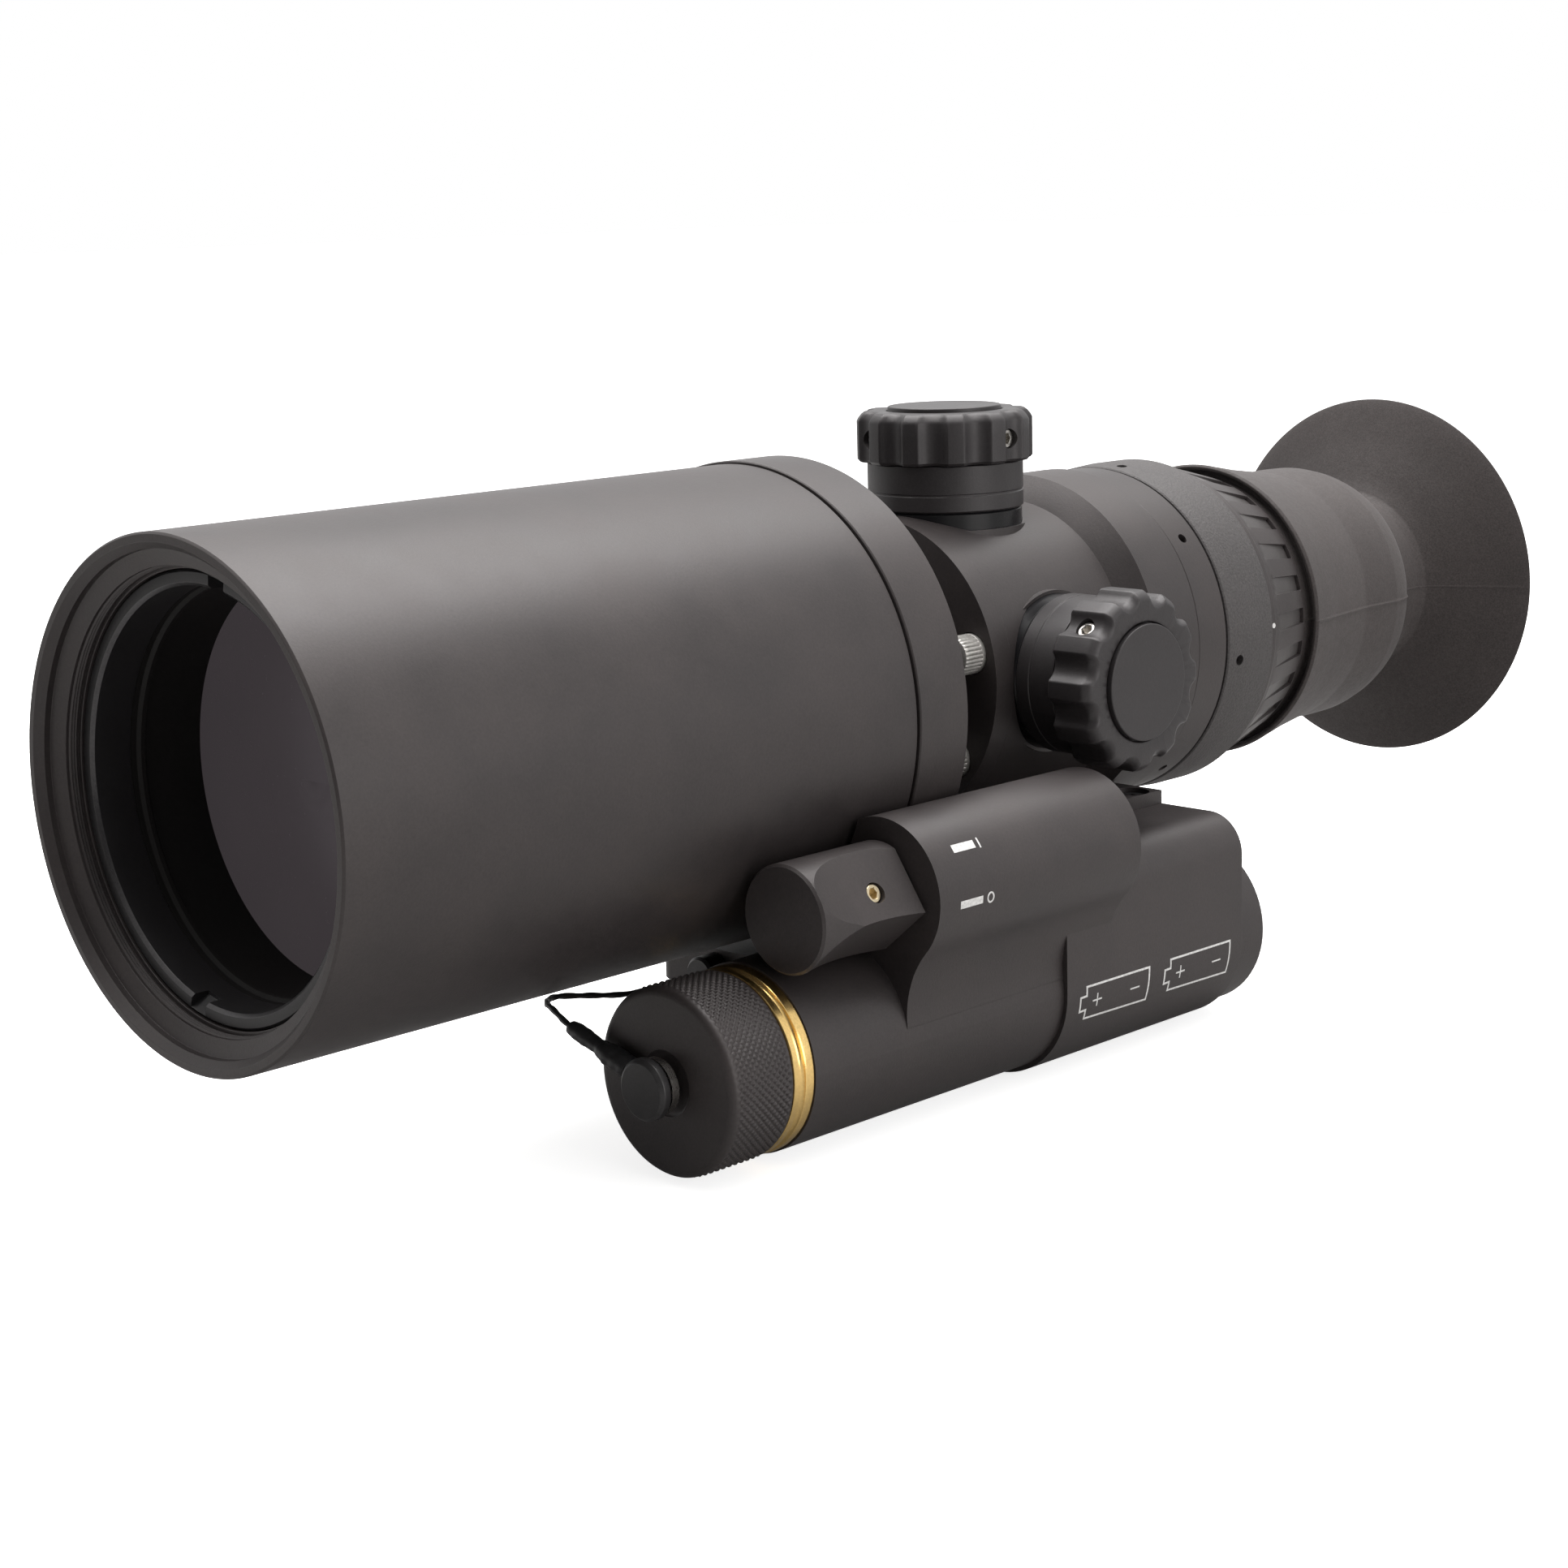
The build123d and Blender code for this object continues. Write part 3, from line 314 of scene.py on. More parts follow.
def paint_white(name):
    k = NT(name)
    out = k.n("ShaderNodeOutputMaterial")
    b = k.n("ShaderNodeBsdfPrincipled")
    k.l.new(b.outputs[0], out.inputs[0])
    n = k.noise(k.coords(), 2200.0, 3.0, 0.7)
    k.l.new(k.mix(k.maprange(n, 0.35, 0.65, 0, 1), (0.50, 0.50, 0.49), (0.72, 0.72, 0.71)), b.inputs["Base Color"])
    k.l.new(k.maprange(n, 0.3, 0.7, 0.45, 0.65), b.inputs["Roughness"])
    bump = k.n("ShaderNodeBump")
    bump.inputs["Strength"].default_value = 0.3
    bump.inputs["Distance"].default_value = 0.00003
    k.l.new(n, bump.inputs["Height"])
    k.l.new(bump.outputs[0], b.inputs["Normal"])
    return k.m


ANOD = (0.034, 0.0290, 0.0292)
M = {
    "anodised": surface("mat_anodised", ANOD, rough=0.47, metallic=0.25, mottle=0.10, tint=(0.038, 0.032, 0.0315), blast=0.30, wear=0.35,
                        wear_color=(0.16, 0.15, 0.15), turn=0.0, spec=0.5),
    "anodised_turned": surface("mat_anodised_turned", ANOD, rough=0.46, metallic=0.25, mottle=0.10, tint=(0.038, 0.032, 0.0315), blast=0.28, turn=0.22,
                               wear=0.35, wear_color=(0.16, 0.15, 0.15)),
    "knob_black": surface("mat_knob_black", (0.028, 0.0252, 0.0262), rough=0.43, metallic=0.25, mottle=0.08, blast=0.25, wear=0.40, wear_color=(0.18, 0.17, 0.17)),
    # pocket floors: a lighter copy of the anodised finish, a painted highlight for the light the tilted floors catch
    "pocket_floor_painted_highlight": surface("mat_pocket_floor", (0.060, 0.055, 0.054), rough=0.42, metallic=0.3, mottle=0.10, blast=0.3, turn=0.2, wear=0.3, wear_color=(0.2, 0.19, 0.19)),
    "ring_black": surface("mat_ring_black", (0.016, 0.0155, 0.0165), rough=0.45, metallic=0.2, blast=0.15, turn=0.35, wear=0.15, wear_color=(0.08, 0.08, 0.08)),
    "spacer_black": surface("mat_spacer_black", (0.0085, 0.0078, 0.0075), rough=0.62, metallic=0.0, mottle=0.15, blast=0.25, turn=0.25, wear=0.0, spec=0.25),
    "ring_edge": surface("mat_ring_edge", (0.06, 0.058, 0.06), rough=0.30, metallic=0.6, blast=0.1, turn=0.3, speck=0.15, wear=0.3, wear_color=(0.3, 0.3, 0.3)),
    "textured_grip": surface("mat_textured_grip", (0.050, 0.046, 0.046), rough=0.60, metallic=0.1, mottle=0.12, speck=0.35, speck_scale=3000.0, blast=0.85,
                             blast_scale=2300.0, blast_dist=0.00012, wear=0.2, wear_color=(0.14, 0.13, 0.13)),
    "gloss_boss": surface("mat_gloss_boss", (0.007, 0.007, 0.008), rough=0.30, metallic=0.0, blast=0.06, blast_scale=900.0, rough_var=0.04, spec=0.28, wear=0.35, wear_color=(0.10, 0.10, 0.10), edge=0.2),
    "satin_steel": surface("mat_satin_steel", (0.40, 0.39, 0.37), rough=0.46, metallic=0.65, blast=0.25, speck=0.2, rough_var=0.06, wear=0.0),
    "screw_steel": surface("mat_screw_steel", (0.55, 0.53, 0.50), rough=0.26, metallic=1.0, blast=0.12, turn=0.5, rough_var=0.08, speck=0.12, wear=0.0),
    "black_screw": surface("mat_black_screw", (0.028, 0.027, 0.028), rough=0.40, metallic=0.3, blast=0.2, wear=0.5, wear_color=(0.2, 0.19, 0.18)),
    "brass": surface("mat_brass", (0.80, 0.56, 0.22), rough=0.22, metallic=1.0, blast=0.08, turn=0.6, rough_var=0.06, speck=0.10, mottle=0.07, wear=0.0),
    "carriage_brass": surface("mat_carriage_brass", (0.55, 0.42, 0.2), rough=0.38, metallic=1.0, blast=0.2, speck=0.1),
    # objective glass: dark tone painted on as a faint emission glow
    "objective_glass": glass_dark_painted_glow("mat_objective_glass_painted_glow"),
    "glass": glass_clear("mat_clear_glass", (0.92, 0.97, 0.95)),
    "o_ring_rubber": surface("mat_o_ring", (0.012, 0.012, 0.012), rough=0.5, blast=0.2, speck=0.15, blast_scale=1800.0),
    "eyeguard_rubber": rubber_mat("mat_eyeguard", (0.040, 0.0335, 0.0325)),
    "heat_shrink": surface("mat_heat_shrink", (0.015, 0.015, 0.016), rough=0.45, blast=0.5, blast_scale=600.0, blast_dist=0.0002, speck=0.1),
    "cable": surface("mat_cable", (0.02, 0.02, 0.021), rough=0.4, blast=0.3, blast_scale=1500.0),
    "battery_can": surface("mat_battery_can", (0.05, 0.05, 0.055), rough=0.3, coat=0.5, blast=0.1),
    "liner_plastic": surface("mat_liner_plastic", (0.045, 0.045, 0.047), rough=0.5, blast=0.3),
    "tube_potting": surface("mat_tube_potting", (0.014, 0.014, 0.014), rough=0.5, blast=0.4),
    "circuit_green": pcb_mat("mat_circuit_board"),
    "paint": paint_white("mat_white_mark"),
    "screw_hole": surface("mat_screw_hole", (0.006, 0.006, 0.006), rough=0.6, blast=0.1),
    "gold_screw": surface("mat_gold_screw", (0.66, 0.56, 0.38), rough=0.28, metallic=1.0, blast=0.15, turn=0.3, speck=0.1),
}

# ------------------------------------------------------------------ finish on the carried-over CAD nodes
slots = {s["node"]: s["material_slot"] for s in frame["record"]["subparts"]}
TURNED = {"objective_barrel", "barrel_flange", "main_body", "neck_ring", "rear_collar", "diopter_ring"}
for name, ob in frame["nodes"].items():
    key = slots[name]
    if name in TURNED:
        key = "anodised_turned"
    if name == "lens_spacer_ring":
        key = "spacer_black"
    ob.data.materials.clear()
    ob.data.materials.append(M[key])


# ------------------------------------------------------------------ mesh helpers (millimetres, optical-axis frame)
def link(ob):
    scene.collection.objects.link(ob)
    return ob


def to_object(name, verts, faces, mat, angle=32.0, sharp=True):
    me = bpy.data.meshes.new(name)
    me.from_pydata([(x * MM, y * MM, (z + OPT) * MM) for x, y, z in verts], [], faces)
    me.validate()
    me.update()
    me.polygons.foreach_set("use_smooth", [True] * len(me.polygons))
    if sharp:
        me.set_sharp_from_angle(angle=rad(angle))
    me.materials.append(mat)
    return link(bpy.data.objects.new(name, me))


def weighted(ob):
    m = ob.modifiers.new("wn", "WEIGHTED_NORMAL")
    m.keep_sharp = True
    m.weight = 80
    return ob


def fillet_profile(pts, default=0.0, n=3):
    """Round each corner of a closed (r, y) profile; a point may carry its own radius as third value."""
    out = []
    N = len(pts)
    for i in range(N):
        p = pts[i]
        f = p[2] if len(p) > 2 else default
        a, b, c = Vector(pts[i - 1][:2]), Vector(p[:2]), Vector(pts[(i + 1) % N][:2])
        u, v = a - b, c - b
        lu, lv = u.length, v.length
        if f <= 0 or lu < 1e-6 or lv < 1e-6:
            out.append(tuple(b))
            continue
        u.normalize()
        v.normalize()
        ang = u.angle(v)
        if ang > rad(172) or ang < rad(5):
            out.append(tuple(b))
            continue
        d = min(f / math.tan(ang / 2), lu * 0.45, lv * 0.45)
        R = d * math.tan(ang / 2)
        bis = (u + v).normalized()
        cen = b + bis * (R / sin(ang / 2))
        p0, p1 = b + u * d, b + v * d
        a0 = math.atan2(p0.y - cen.y, p0.x - cen.x)
        a1 = math.atan2(p1.y - cen.y, p1.x - cen.x)
        da = (a1 - a0 + pi) % (2 * pi) - pi
        for k in range(n + 1):
            t = a0 + da * k / n
            out.append((cen.x + R * cos(t), cen.y + R * sin(t)))
    return out


def split_long(pts, step):
    """Insert points so that no profile segment along the axis is longer than step."""
    out = []
    N = len(pts)
    for i in range(N):
        a, b = pts[i], pts[(i + 1) % N]
        out.append(a)
        L = math.hypot(b[0] - a[0], b[1] - a[1])
        m = int(L // step)
        for k in range(1, m + 1):
            t = k / (m + 1)
            out.append((a[0] + (b[0] - a[0]) * t, a[1] + (b[1] - a[1]) * t))
    return out


def lathe(name, profile, mat, cx=0.0, cz=0.0, segs=256, thetas=None, fn=None, axis="Y", closed=True, angle=32.0, wn=True):
    """Revolve a (radius, axial) profile. fn(theta_deg, points) may return a changed profile for that direction."""
    if thetas is None:
        thetas = [360.0 * i / segs for i in range(segs)]
    verts, faces = [], []
    P = len(profile)
    for th in thetas:
        pts = fn(th, profile) if fn else profile
        c, s = cos(rad(th)), sin(rad(th))
        for r, y in pts:
            if axis == "Y":
                verts.append((cx + r * c, y, cz + r * s))
            elif axis == "Z":
                verts.append((cx + r * c, cz + r * s, y))
            else:  # axis X: local x -> -z, local y -> y
                verts.append((y, cx + r * s, cz - r * c))
    T = len(thetas)
    for i in range(T):
        j = (i + 1) % T
        for k in range(P if closed else P - 1):
            m = (k + 1) % P
            q = (i * P + k, i * P + m, j * P + m, j * P + k)
            faces.append(q)
    ob = to_object(name, verts, faces, mat, angle)
    bm = bmesh.new()
    bm.from_mesh(ob.data)
    bmesh.ops.remove_doubles(bm, verts=bm.verts, dist=1e-7)
    bmesh.ops.dissolve_degenerate(bm, edges=bm.edges, dist=1e-8)
    bmesh.ops.recalc_face_normals(bm, faces=bm.faces)
    bm.to_mesh(ob.data)
    bm.free()
    ob.data.set_sharp_from_angle(angle=rad(angle))
    if wn:
        weighted(ob)
    return ob


def finish_piece(ob, body, nodes=()):
    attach(ob, body)
    if nodes:
        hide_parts(*nodes)
    return ob


# ------------------------------------------------------------------ camera, light, floor
f_px, W = 3568.9, 1932
cam_data = bpy.data.cameras.new("camera")
cam_data.sensor_width = 36.0
cam_data.lens = f_px / W * 36.0
cam_data.clip_start, cam_data.clip_end = 0.01, 20
cam = link(bpy.data.objects.new("camera", cam_data))
fwd = Vector((-0.69545, 0.69056, -0.19871)).normalized()
right = fwd.cross(Vector((0, 0, 1))).normalized()
up = right.cross(fwd)
roll = rad(-1.61)
r2 = right * cos(roll) + up * sin(roll)
u2 = -right * sin(roll) + up * cos(roll)
rot = Matrix((r2, u2, -fwd)).transposed().to_4x4()
cam.matrix_world = Matrix.Translation(Vector((0.29908, -0.33393, 0.11540))) @ rot
scene.camera = cam

try:
    scene.view_settings.view_transform = "Standard"
    scene.view_settings.look = "None"
except Exception:
    pass

# white studio surround: bright behind, above and below the object, dark around the camera
k = NT("studio", world=True)
out = k.n("ShaderNodeOutputWorld")
bgn = k.n("ShaderNodeBackground")
k.l.new(bgn.outputs[0], out.inputs[0])
tc = k.n("ShaderNodeTexCoord")
dn = k.n("ShaderNodeVectorMath", operation="NORMALIZE")
k.l.new(tc.outputs["Generated"], dn.inputs[0])
dp = k.n("ShaderNodeVectorMath", operation="DOT_PRODUCT")
k.l.new(dn.outputs[0], dp.inputs[0])
dp.inputs[1].default_value = tuple(Vector((0.35, -0.93, 0.05)).normalized())
sep = k.n("ShaderNodeSeparateXYZ")
k.l.new(dn.outputs[0], sep.inputs[0])
facing = k.ramp(k.maprange(dp.outputs["Value"], -1, 1, 0, 1), [(0.0, (1, 1, 1)), (0.50, (1, 1, 1)), (0.62, (0.85, 0.83, 0.82)), (0.74, (0.42, 0.41, 0.405)), (0.86, (0.15, 0.146, 0.148)), (1.0, (0.07, 0.069, 0.072))])
upw = k.maprange(sep.outputs["Z"], 0.35, 0.95, 0.0, 0.9)
col = k.mix(upw, facing, (0.95, 0.93, 0.91))
lp = k.n("ShaderNodeLightPath")
colc = k.mix(lp.outputs["Is Camera Ray"], col, (1, 1, 1))
k.l.new(colc, bgn.inputs["Color"])
bgn.inputs["Strength"].default_value = 1.0
scene.world = k.m


def area(name, loc, target, size, power, color=(1, 1, 1), shape="RECTANGLE", size_y=None):
    d = bpy.data.lights.new(name, "AREA")
    d.shape = shape
    d.size = size
    if size_y:
        d.size_y = size_y
    d.energy = power
    d.color = color
    o = link(bpy.data.objects.new(name, d))
    o.location = loc
    o.rotation_euler = (Vector(target) - Vector(loc)).to_track_quat("-Z", "Y").to_euler()
    return o


area("softbox_top", (-0.10, 0.10, 0.75), (0, 0, 0.04), 0.9, 13.0, (1.0, 0.985, 0.98), size_y=0.7)
area("softbox_side", (0.92, 0.02, 0.22), (0, 0.0, 0.03), 0.6, 2.6, (1.0, 0.975, 0.965), size_y=0.5)

# floor
km = NT("mat_floor")
fo = km.n("ShaderNodeOutputMaterial")
fb = km.n("ShaderNodeBsdfPrincipled")
km.l.new(fb.outputs[0], fo.inputs[0])
nz = km.noise(km.coords(), 35.0, 3.0, 0.5)
flp = km.n("ShaderNodeLightPath")
pale = km.mix(nz, (0.90, 0.90, 0.90), (0.93, 0.93, 0.93))
km.l.new(km.mix(flp.outputs["Is Camera Ray"], (0.36, 0.355, 0.35), pale), fb.inputs["Base Color"])
fb.inputs["Roughness"].default_value = 0.9
fb.inputs["Emission Color"].default_value = (1, 1, 1, 1)
km.l.new(km.maprange(flp.outputs["Is Camera Ray"], 0.0, 1.0, 0.05, 0.75), fb.inputs["Emission Strength"])
me = bpy.data.meshes.new("floor")
bm = bmesh.new()
bmesh.ops.create_grid(bm, x_segments=24, y_segments=24, size=9.0)
bm.to_mesh(me)
bm.free()
me.materials.append(km.m)
floor = link(bpy.data.objects.new("floor", me))
floor.location = (0, 0, CAD_BOX[0][2] - 0.0003)

# ------------------------------------------------------------------ objective barrel
bar = fillet_profile([
    (32.75, -142.0, 0.08), (33.7, -142.0, 0.1), (34.0, -141.7, 0.12), (34.0, -44.5, 0.12), (31.1, -44.5), (31.1, -42.32), (30.05, -42.32), (30.05, -38.62), (26.0, -38.62),
    (26.0, -64.0), (24.0, -66.0), (24.0, -76.0), (22.8, -76.0), (22.8, -86.0), (26.0, -89.0), (26.0, -110.38), (29.02, -110.38), (29.02, -137.2, 0.1),
    (29.62, -137.2), (29.62, -137.45, 0.05), (29.35, -137.65, 0.05), (29.62, -137.85, 0.05), (29.35, -138.05, 0.05), (29.62, -138.25, 0.05), (29.35, -138.45, 0.05), (29.62, -138.65, 0.05), (29.6, -139.1, 0.1), (31.85, -140.0, 0.1), (31.85, -140.9, 0.1),
], n=4)
bar = split_long(bar, 12.0)
ob = lathe("barrel_tube", bar, M["anodised_turned"], segs=320)
finish_piece(ob, "scope_frame", ["objective_barrel"])

# retaining ring: two spanner notches, bright broken inner edge
rr = [(26.85, -136.5), (27.3, -136.98), (28.6, -137.0), (28.93, -136.66), (28.93, -131.1), (26.85, -131.1)]
rr = fillet_profile([(p[0], p[1], 0.07) for p in rr], n=3)
def notch(th, pts):
    for a in (81.0, 258.0):
        d = (th - a + 180) % 360 - 180
        if abs(d) <= 3.3:
            return [(r, max(y, -134.5)) if r < 28.15 else (r, y) for r, y in pts]
    return pts
def step_thetas(n, centres, half, eps=0.02):
    th = [360.0 * i / n for i in range(n)]
    for c in centres:
        lo, hi = (c - half) % 360, (c + half) % 360
        th = [t for t in th if min(abs(t - lo), abs(t - hi)) > 0.15]
        th += [(c - half - eps) % 360, (c - half + eps) % 360, (c + half - eps) % 360, (c + half + eps) % 360]
    return sorted(th)
ob = lathe("retaining_ring", rr, M["ring_black"], thetas=step_thetas(240, (81.0, 258.0), 3.3), fn=notch, wn=False)
ob.data.materials.append(M["ring_edge"])
for f_ in ob.data.polygons:
    c_ = f_.center / MM
    q_ = math.hypot(c_.x, c_.z - OPT)
    if 26.8 < q_ < 27.4 and -137.05 < c_.y < -136.4 and abs(f_.normal.y) > 0.35 and abs(f_.normal.y) < 0.95:
        f_.material_index = 1
finish_piece(ob, "scope_frame", ["front_retaining_ring"])

# barrel flange
fl = fillet_profile([
    (30.08, -42.3), (33.05, -42.3), (33.05, -44.2), (34.2, -44.2, 0.1), (34.4, -44.0, 0.1), (34.4, -34.5, 0.2), (34.1, -34.2, 0.2), (32.0, -34.2), (18.2, -25.0, 0.5), (15.25, -25.0), (15.25, -34.4), (25.8, -34.4), (25.8, -38.5), (30.08, -38.5),
], n=4)
ob = lathe("flange_cone", fl, M["anodised_turned"], segs=288)
finish_piece(ob, "scope_frame", ["barrel_flange"])

# o-ring in the barrel groove
def torus_profile(R, r, y, n=14):
    return [(R + r * cos(2 * pi * i / n), y + r * sin(2 * pi * i / n)) for i in range(n)]
ob = lathe("groove_seal", torus_profile(32.0, 0.88, -43.4), M["o_ring_rubber"], segs=200, angle=80, wn=False)
finish_piece(ob, "scope_frame", ["barrel_o_ring"])
ob = lathe("collar_seal", torus_profile(25.5, 0.33, 36.65, 10), M["o_ring_rubber"], segs=180, angle=80, wn=False)
finish_piece(ob, "scope_frame", ["collar_o_ring"])

# ------------------------------------------------------------------ knurled cap screws on the neck ring
def cap_screw(name, x, z, spin):
    head = [(0, -14.9), (0, -17.6), (1.25, -17.6), (1.30, -19.7), (1.42, -19.9), (2.45, -19.9), (2.8, -19.8), (3.0, -19.5), (3.0, -19.2), (3.0, -16.55), (3.0, -16.3), (2.9, -16.2), (3.0, -16.1), (3.0, -15.3), (2.85, -15.24), (2.85, -14.9)]
    teeth = 28
    def fn(th, pts):
        t = (th * teeth / 360.0) % 1.0
        g = abs(2 * t - 1)
        cut = 0.20 * (1 - min(1, g * 1.6))
        hexr = 1.25 / cos(rad(((th + spin) % 60) - 30)) * 1.0
        outp = []
        for r, y in pts:
            if r >= 2.95 and -19.6 < y < -16.4:
                r -= cut
            if 1.2 < r < 1.4:
                r = hexr if r < 1.28 or y > -19.8 else r
            if abs(r - 1.42) < 1e-6:
                r = hexr + 0.12
            outp.append((r, y))
        return outp
    th = [360.0 * i / (teeth * 6) for i in range(teeth * 6)]
    return lathe(name, head, M["satin_steel"], cx=x, cz=z, thetas=th, fn=fn, closed=False, angle=35, wn=False)
screws = []
for i in (0, 2, 3, 4, 5, 6):
    a = rad(13.5 + 360.0 / 7 * i)
    screws.append(cap_screw("neck_screw_%d" % (i + 1), 19 * cos(a), 19 * sin(a), i * 17.0))
bpy.ops.object.select_all(action="DESELECT")
for s in screws:
    s.select_set(True)
bpy.context.view_layer.objects.active = screws[0]
bpy.ops.object.join()
neck_screws = bpy.context.view_layer.objects.active
neck_screws.name = "neck_screws_knurled"
finish_piece(neck_screws, "scope_frame", ["neck_cap_screws"])

# ------------------------------------------------------------------ turret drums and fluted caps
def turret(prefix, axis, angle0, body):
    drum = fillet_profile([(3.1, 23.86), (11.75, 23.86, 0.1), (12.0, 24.1, 0.1), (12.0, 26.3, 0.05), (11.86, 26.42, 0.05), (11.86, 26.62, 0.05), (12.0, 26.74, 0.05), (12.0, 30.95, 0.2), (9.0, 30.95), (9.0, 37.0), (3.1, 37.0)], n=3)
    o = lathe(prefix + "_skirt", drum, M["knob_black"], axis=axis, segs=200)
    finish_piece(o, body, [prefix + "_drum"])
    H0, H1, R, RF = 31.0, 38.8, 13.5, 2.7
    base = [(9.05, H0), (R - 0.9, H0), (R - 0.35, H0 + 0.12), (R, H0 + 0.5), (R, H0 + 2.2), (R, H0 + 4.5), (R, H1 - 1.5), (R - 0.25, H1 - 1.0), (R - 0.7, H1 - 0.45), (R - 1.15, H1 - 0.1), (R - 1.5, H1),
            (9.25, H1), (9.0, H1 - 0.12), (8.85, H1 - 0.4), (8.85, H1 - 0.95), (0.0, H1 - 0.95), (0.0, 37.1), (9.05, 37.1)]
    def fn(th, pts):
        d = ((th - angle0 + 15) % 30) - 15
        a = rad(d)
        C = 12.3 + RF
        disc = RF * RF - (C * sin(a)) ** 2
        fl = C * cos(a) - math.sqrt(disc) if disc > 0 else 99
        outp = []
        for r, h in pts:
            if r > 11.2:
                off = R - r
                lim = fl
                # ease the groove's edges
                if lim < R + 0.4:
                    e = 0.18
                    s = max(0.0, e - (R - min(lim, R))) / e if lim <= R else 1
                    r = min(r, min(R, lim) - off - 0.06 * s)
            outp.append((r, h))
        return outp
    ths = []
    for kf in range(12):
        c = angle0 + 30 * kf
        for d in (-15, -13, -11.6, -10.9, -10.5, -10.2, -9.9, -9.4, -8.6, -7.4, -6, -4.5, -3, -1.5, 0, 1.5, 3, 4.5, 6, 7.4, 8.6, 9.4, 9.9, 10.2, 10.5, 10.9, 11.6, 13):
            ths.append((c + d) % 360)
    o = lathe(prefix + "_fluted_cap", base, M["knob_black"], axis=axis, thetas=sorted(ths), fn=fn, angle=28)
    # bore for the three set screws
    cut = []
    for q in range(3):
        a = rad(angle0 + 120 * q)
        bpy.ops.mesh.primitive_cylinder_add(vertices=40, radius=1.52 * MM, depth=8 * MM)
        c = bpy.context.active_object
        dirv = Vector((cos(a), sin(a), 0))
        loc = dirv * (9.2 + 4) + Vector((0, 0, 34.6))
        if axis == "X":
            T = Matrix(((0, 0, 1), (0, 1, 0), (-1, 0, 0)))
            dirv, loc = T @ dirv, T @ loc
        c.rotation_euler = dirv.to_track_quat("Z", "Y").to_euler()
        c.location = (loc + Vector((0, 0, OPT))) * MM
        cut.append(c)
    apply_cuts(o, cut)
    finish_piece(o, body, [prefix + "_cap"])
    disc = fillet_profile([(0, 37.85), (8.7, 37.85), (8.7, 39.4, 0.22), (0, 39.4)], n=4)
    o = lathe(prefix + "_top_disc", disc, M["knob_black"], axis=axis, segs=160)
    finish_piece(o, body, [prefix + "_cap_disc"])


def apply_cuts(o, cutters, solver="EXACT"):
    """Subtract closed meshes from o and keep its smooth shading."""
    bpy.context.view_layer.update()
    mods = [m for m in o.modifiers if m.type == "WEIGHTED_NORMAL"]
    for m in mods:
        o.modifiers.remove(m)
    for c in cutters:
        m = o.modifiers.new("cut", "BOOLEAN")
        m.operation = "DIFFERENCE"
        m.solver = solver
        m.object = c
    dg = bpy.context.evaluated_depsgraph_get()
    me = bpy.data.meshes.new_from_object(o.evaluated_get(dg))
    o.modifiers.clear()
    old = o.data
    mat = old.materials[0]
    o.data = me
    me.materials.clear()
    me.materials.append(mat)
    me.polygons.foreach_set("material_index", [0] * len(me.polygons))
    me.polygons.foreach_set("use_smooth", [True] * len(me.polygons))
    me.set_sharp_from_angle(angle=rad(30))
    bpy.data.meshes.remove(old)
    for c in cutters:
        bpy.data.objects.remove(c, do_unlink=True)
    weighted(o)


def radial_cutter(radius, r0, r1, y, theta, verts=32):
    """Cylinder lying along a radius of the optical axis."""
    bpy.ops.mesh.primitive_cylinder_add(vertices=verts, radius=radius * MM, depth=(r1 - r0) * MM)
    c = bpy.context.active_object
    d = Vector((cos(rad(theta)), 0, sin(rad(theta))))
    c.rotation_euler = d.to_track_quat("Z", "Y").to_euler()
    c.location = (d * ((r0 + r1) / 2) + Vector((0, y, OPT))) * MM
    return c


turret("elevation", "Z", 4.0, "elevation_turret")
turret("windage", "X", 225.0, "windage_turret")


def socket_screw(name, r, length, hexaf, mat, pos, direction, body, slot, nodes=(), lip=0.15):
    """Headless socket screw: chamfered rim, hexagonal socket."""
    L = length
    prof = [(0, -1.5), (0.0, -1.5), (hexaf / 2, -1.5), (hexaf / 2, -0.12), (hexaf / 2 + 0.12, 0.0), (r - lip, 0.0), (r, -lip), (r, -L + 0.2), (r - 0.2, -L), (0, -L)]
    prof = prof[1:]
    def fn(th, pts):
        h = hexaf / 2 / cos(rad((th % 60) - 30))
        outp = []
        for i, (q, y) in enumerate(pts):
            if i in (1, 2):
                q = h
            elif i == 3:
                q = h + 0.12
            outp.append((q, y))
        return outp
    o = lathe(name, prof, mat, axis="Z", segs=72, fn=fn, closed=True, angle=35, wn=False)
    # lathe places the solid around the lifted origin; turn it to its own direction
    o.data.transform(Matrix.Translation((0, 0, -OPT * MM)))
    q = Vector(direction).to_track_quat("Z", "Y").to_matrix().to_4x4()
    o.data.transform(Matrix.Translation(Vector((pos[0], pos[1], pos[2] + OPT)) * MM) @ q)
    return o


def joined(name, obs):
    bpy.ops.object.select_all(action="DESELECT")
    for s in obs:
        s.select_set(True)
    bpy.context.view_layer.objects.active = obs[0]
    if len(obs) > 1:
        bpy.ops.object.join()
    o = bpy.context.view_layer.objects.active
    o.name = name
    return o


for prefix, axis, a0, body in (("elevation", "Z", 4.0, "elevation_turret"), ("windage", "X", 225.0, "windage_turret")):
    parts = []
    for q in range(3):
        a = rad(a0 + 120 * q)
        d = Vector((cos(a), sin(a), 0))
        p = d * 12.0 + Vector((0, 0, 34.6))
        if axis == "X":
            T = Matrix(((0, 0, 1), (0, 1, 0), (-1, 0, 0)))
            d, p = T @ d, T @ p
        parts.append(socket_screw("ss", 1.42, 3.2, 1.5, M["screw_steel"], p, d, body, None))
    o = joined(prefix + "_grub_screws", parts)
    finish_piece(o, body, [prefix + "_set_screws"])

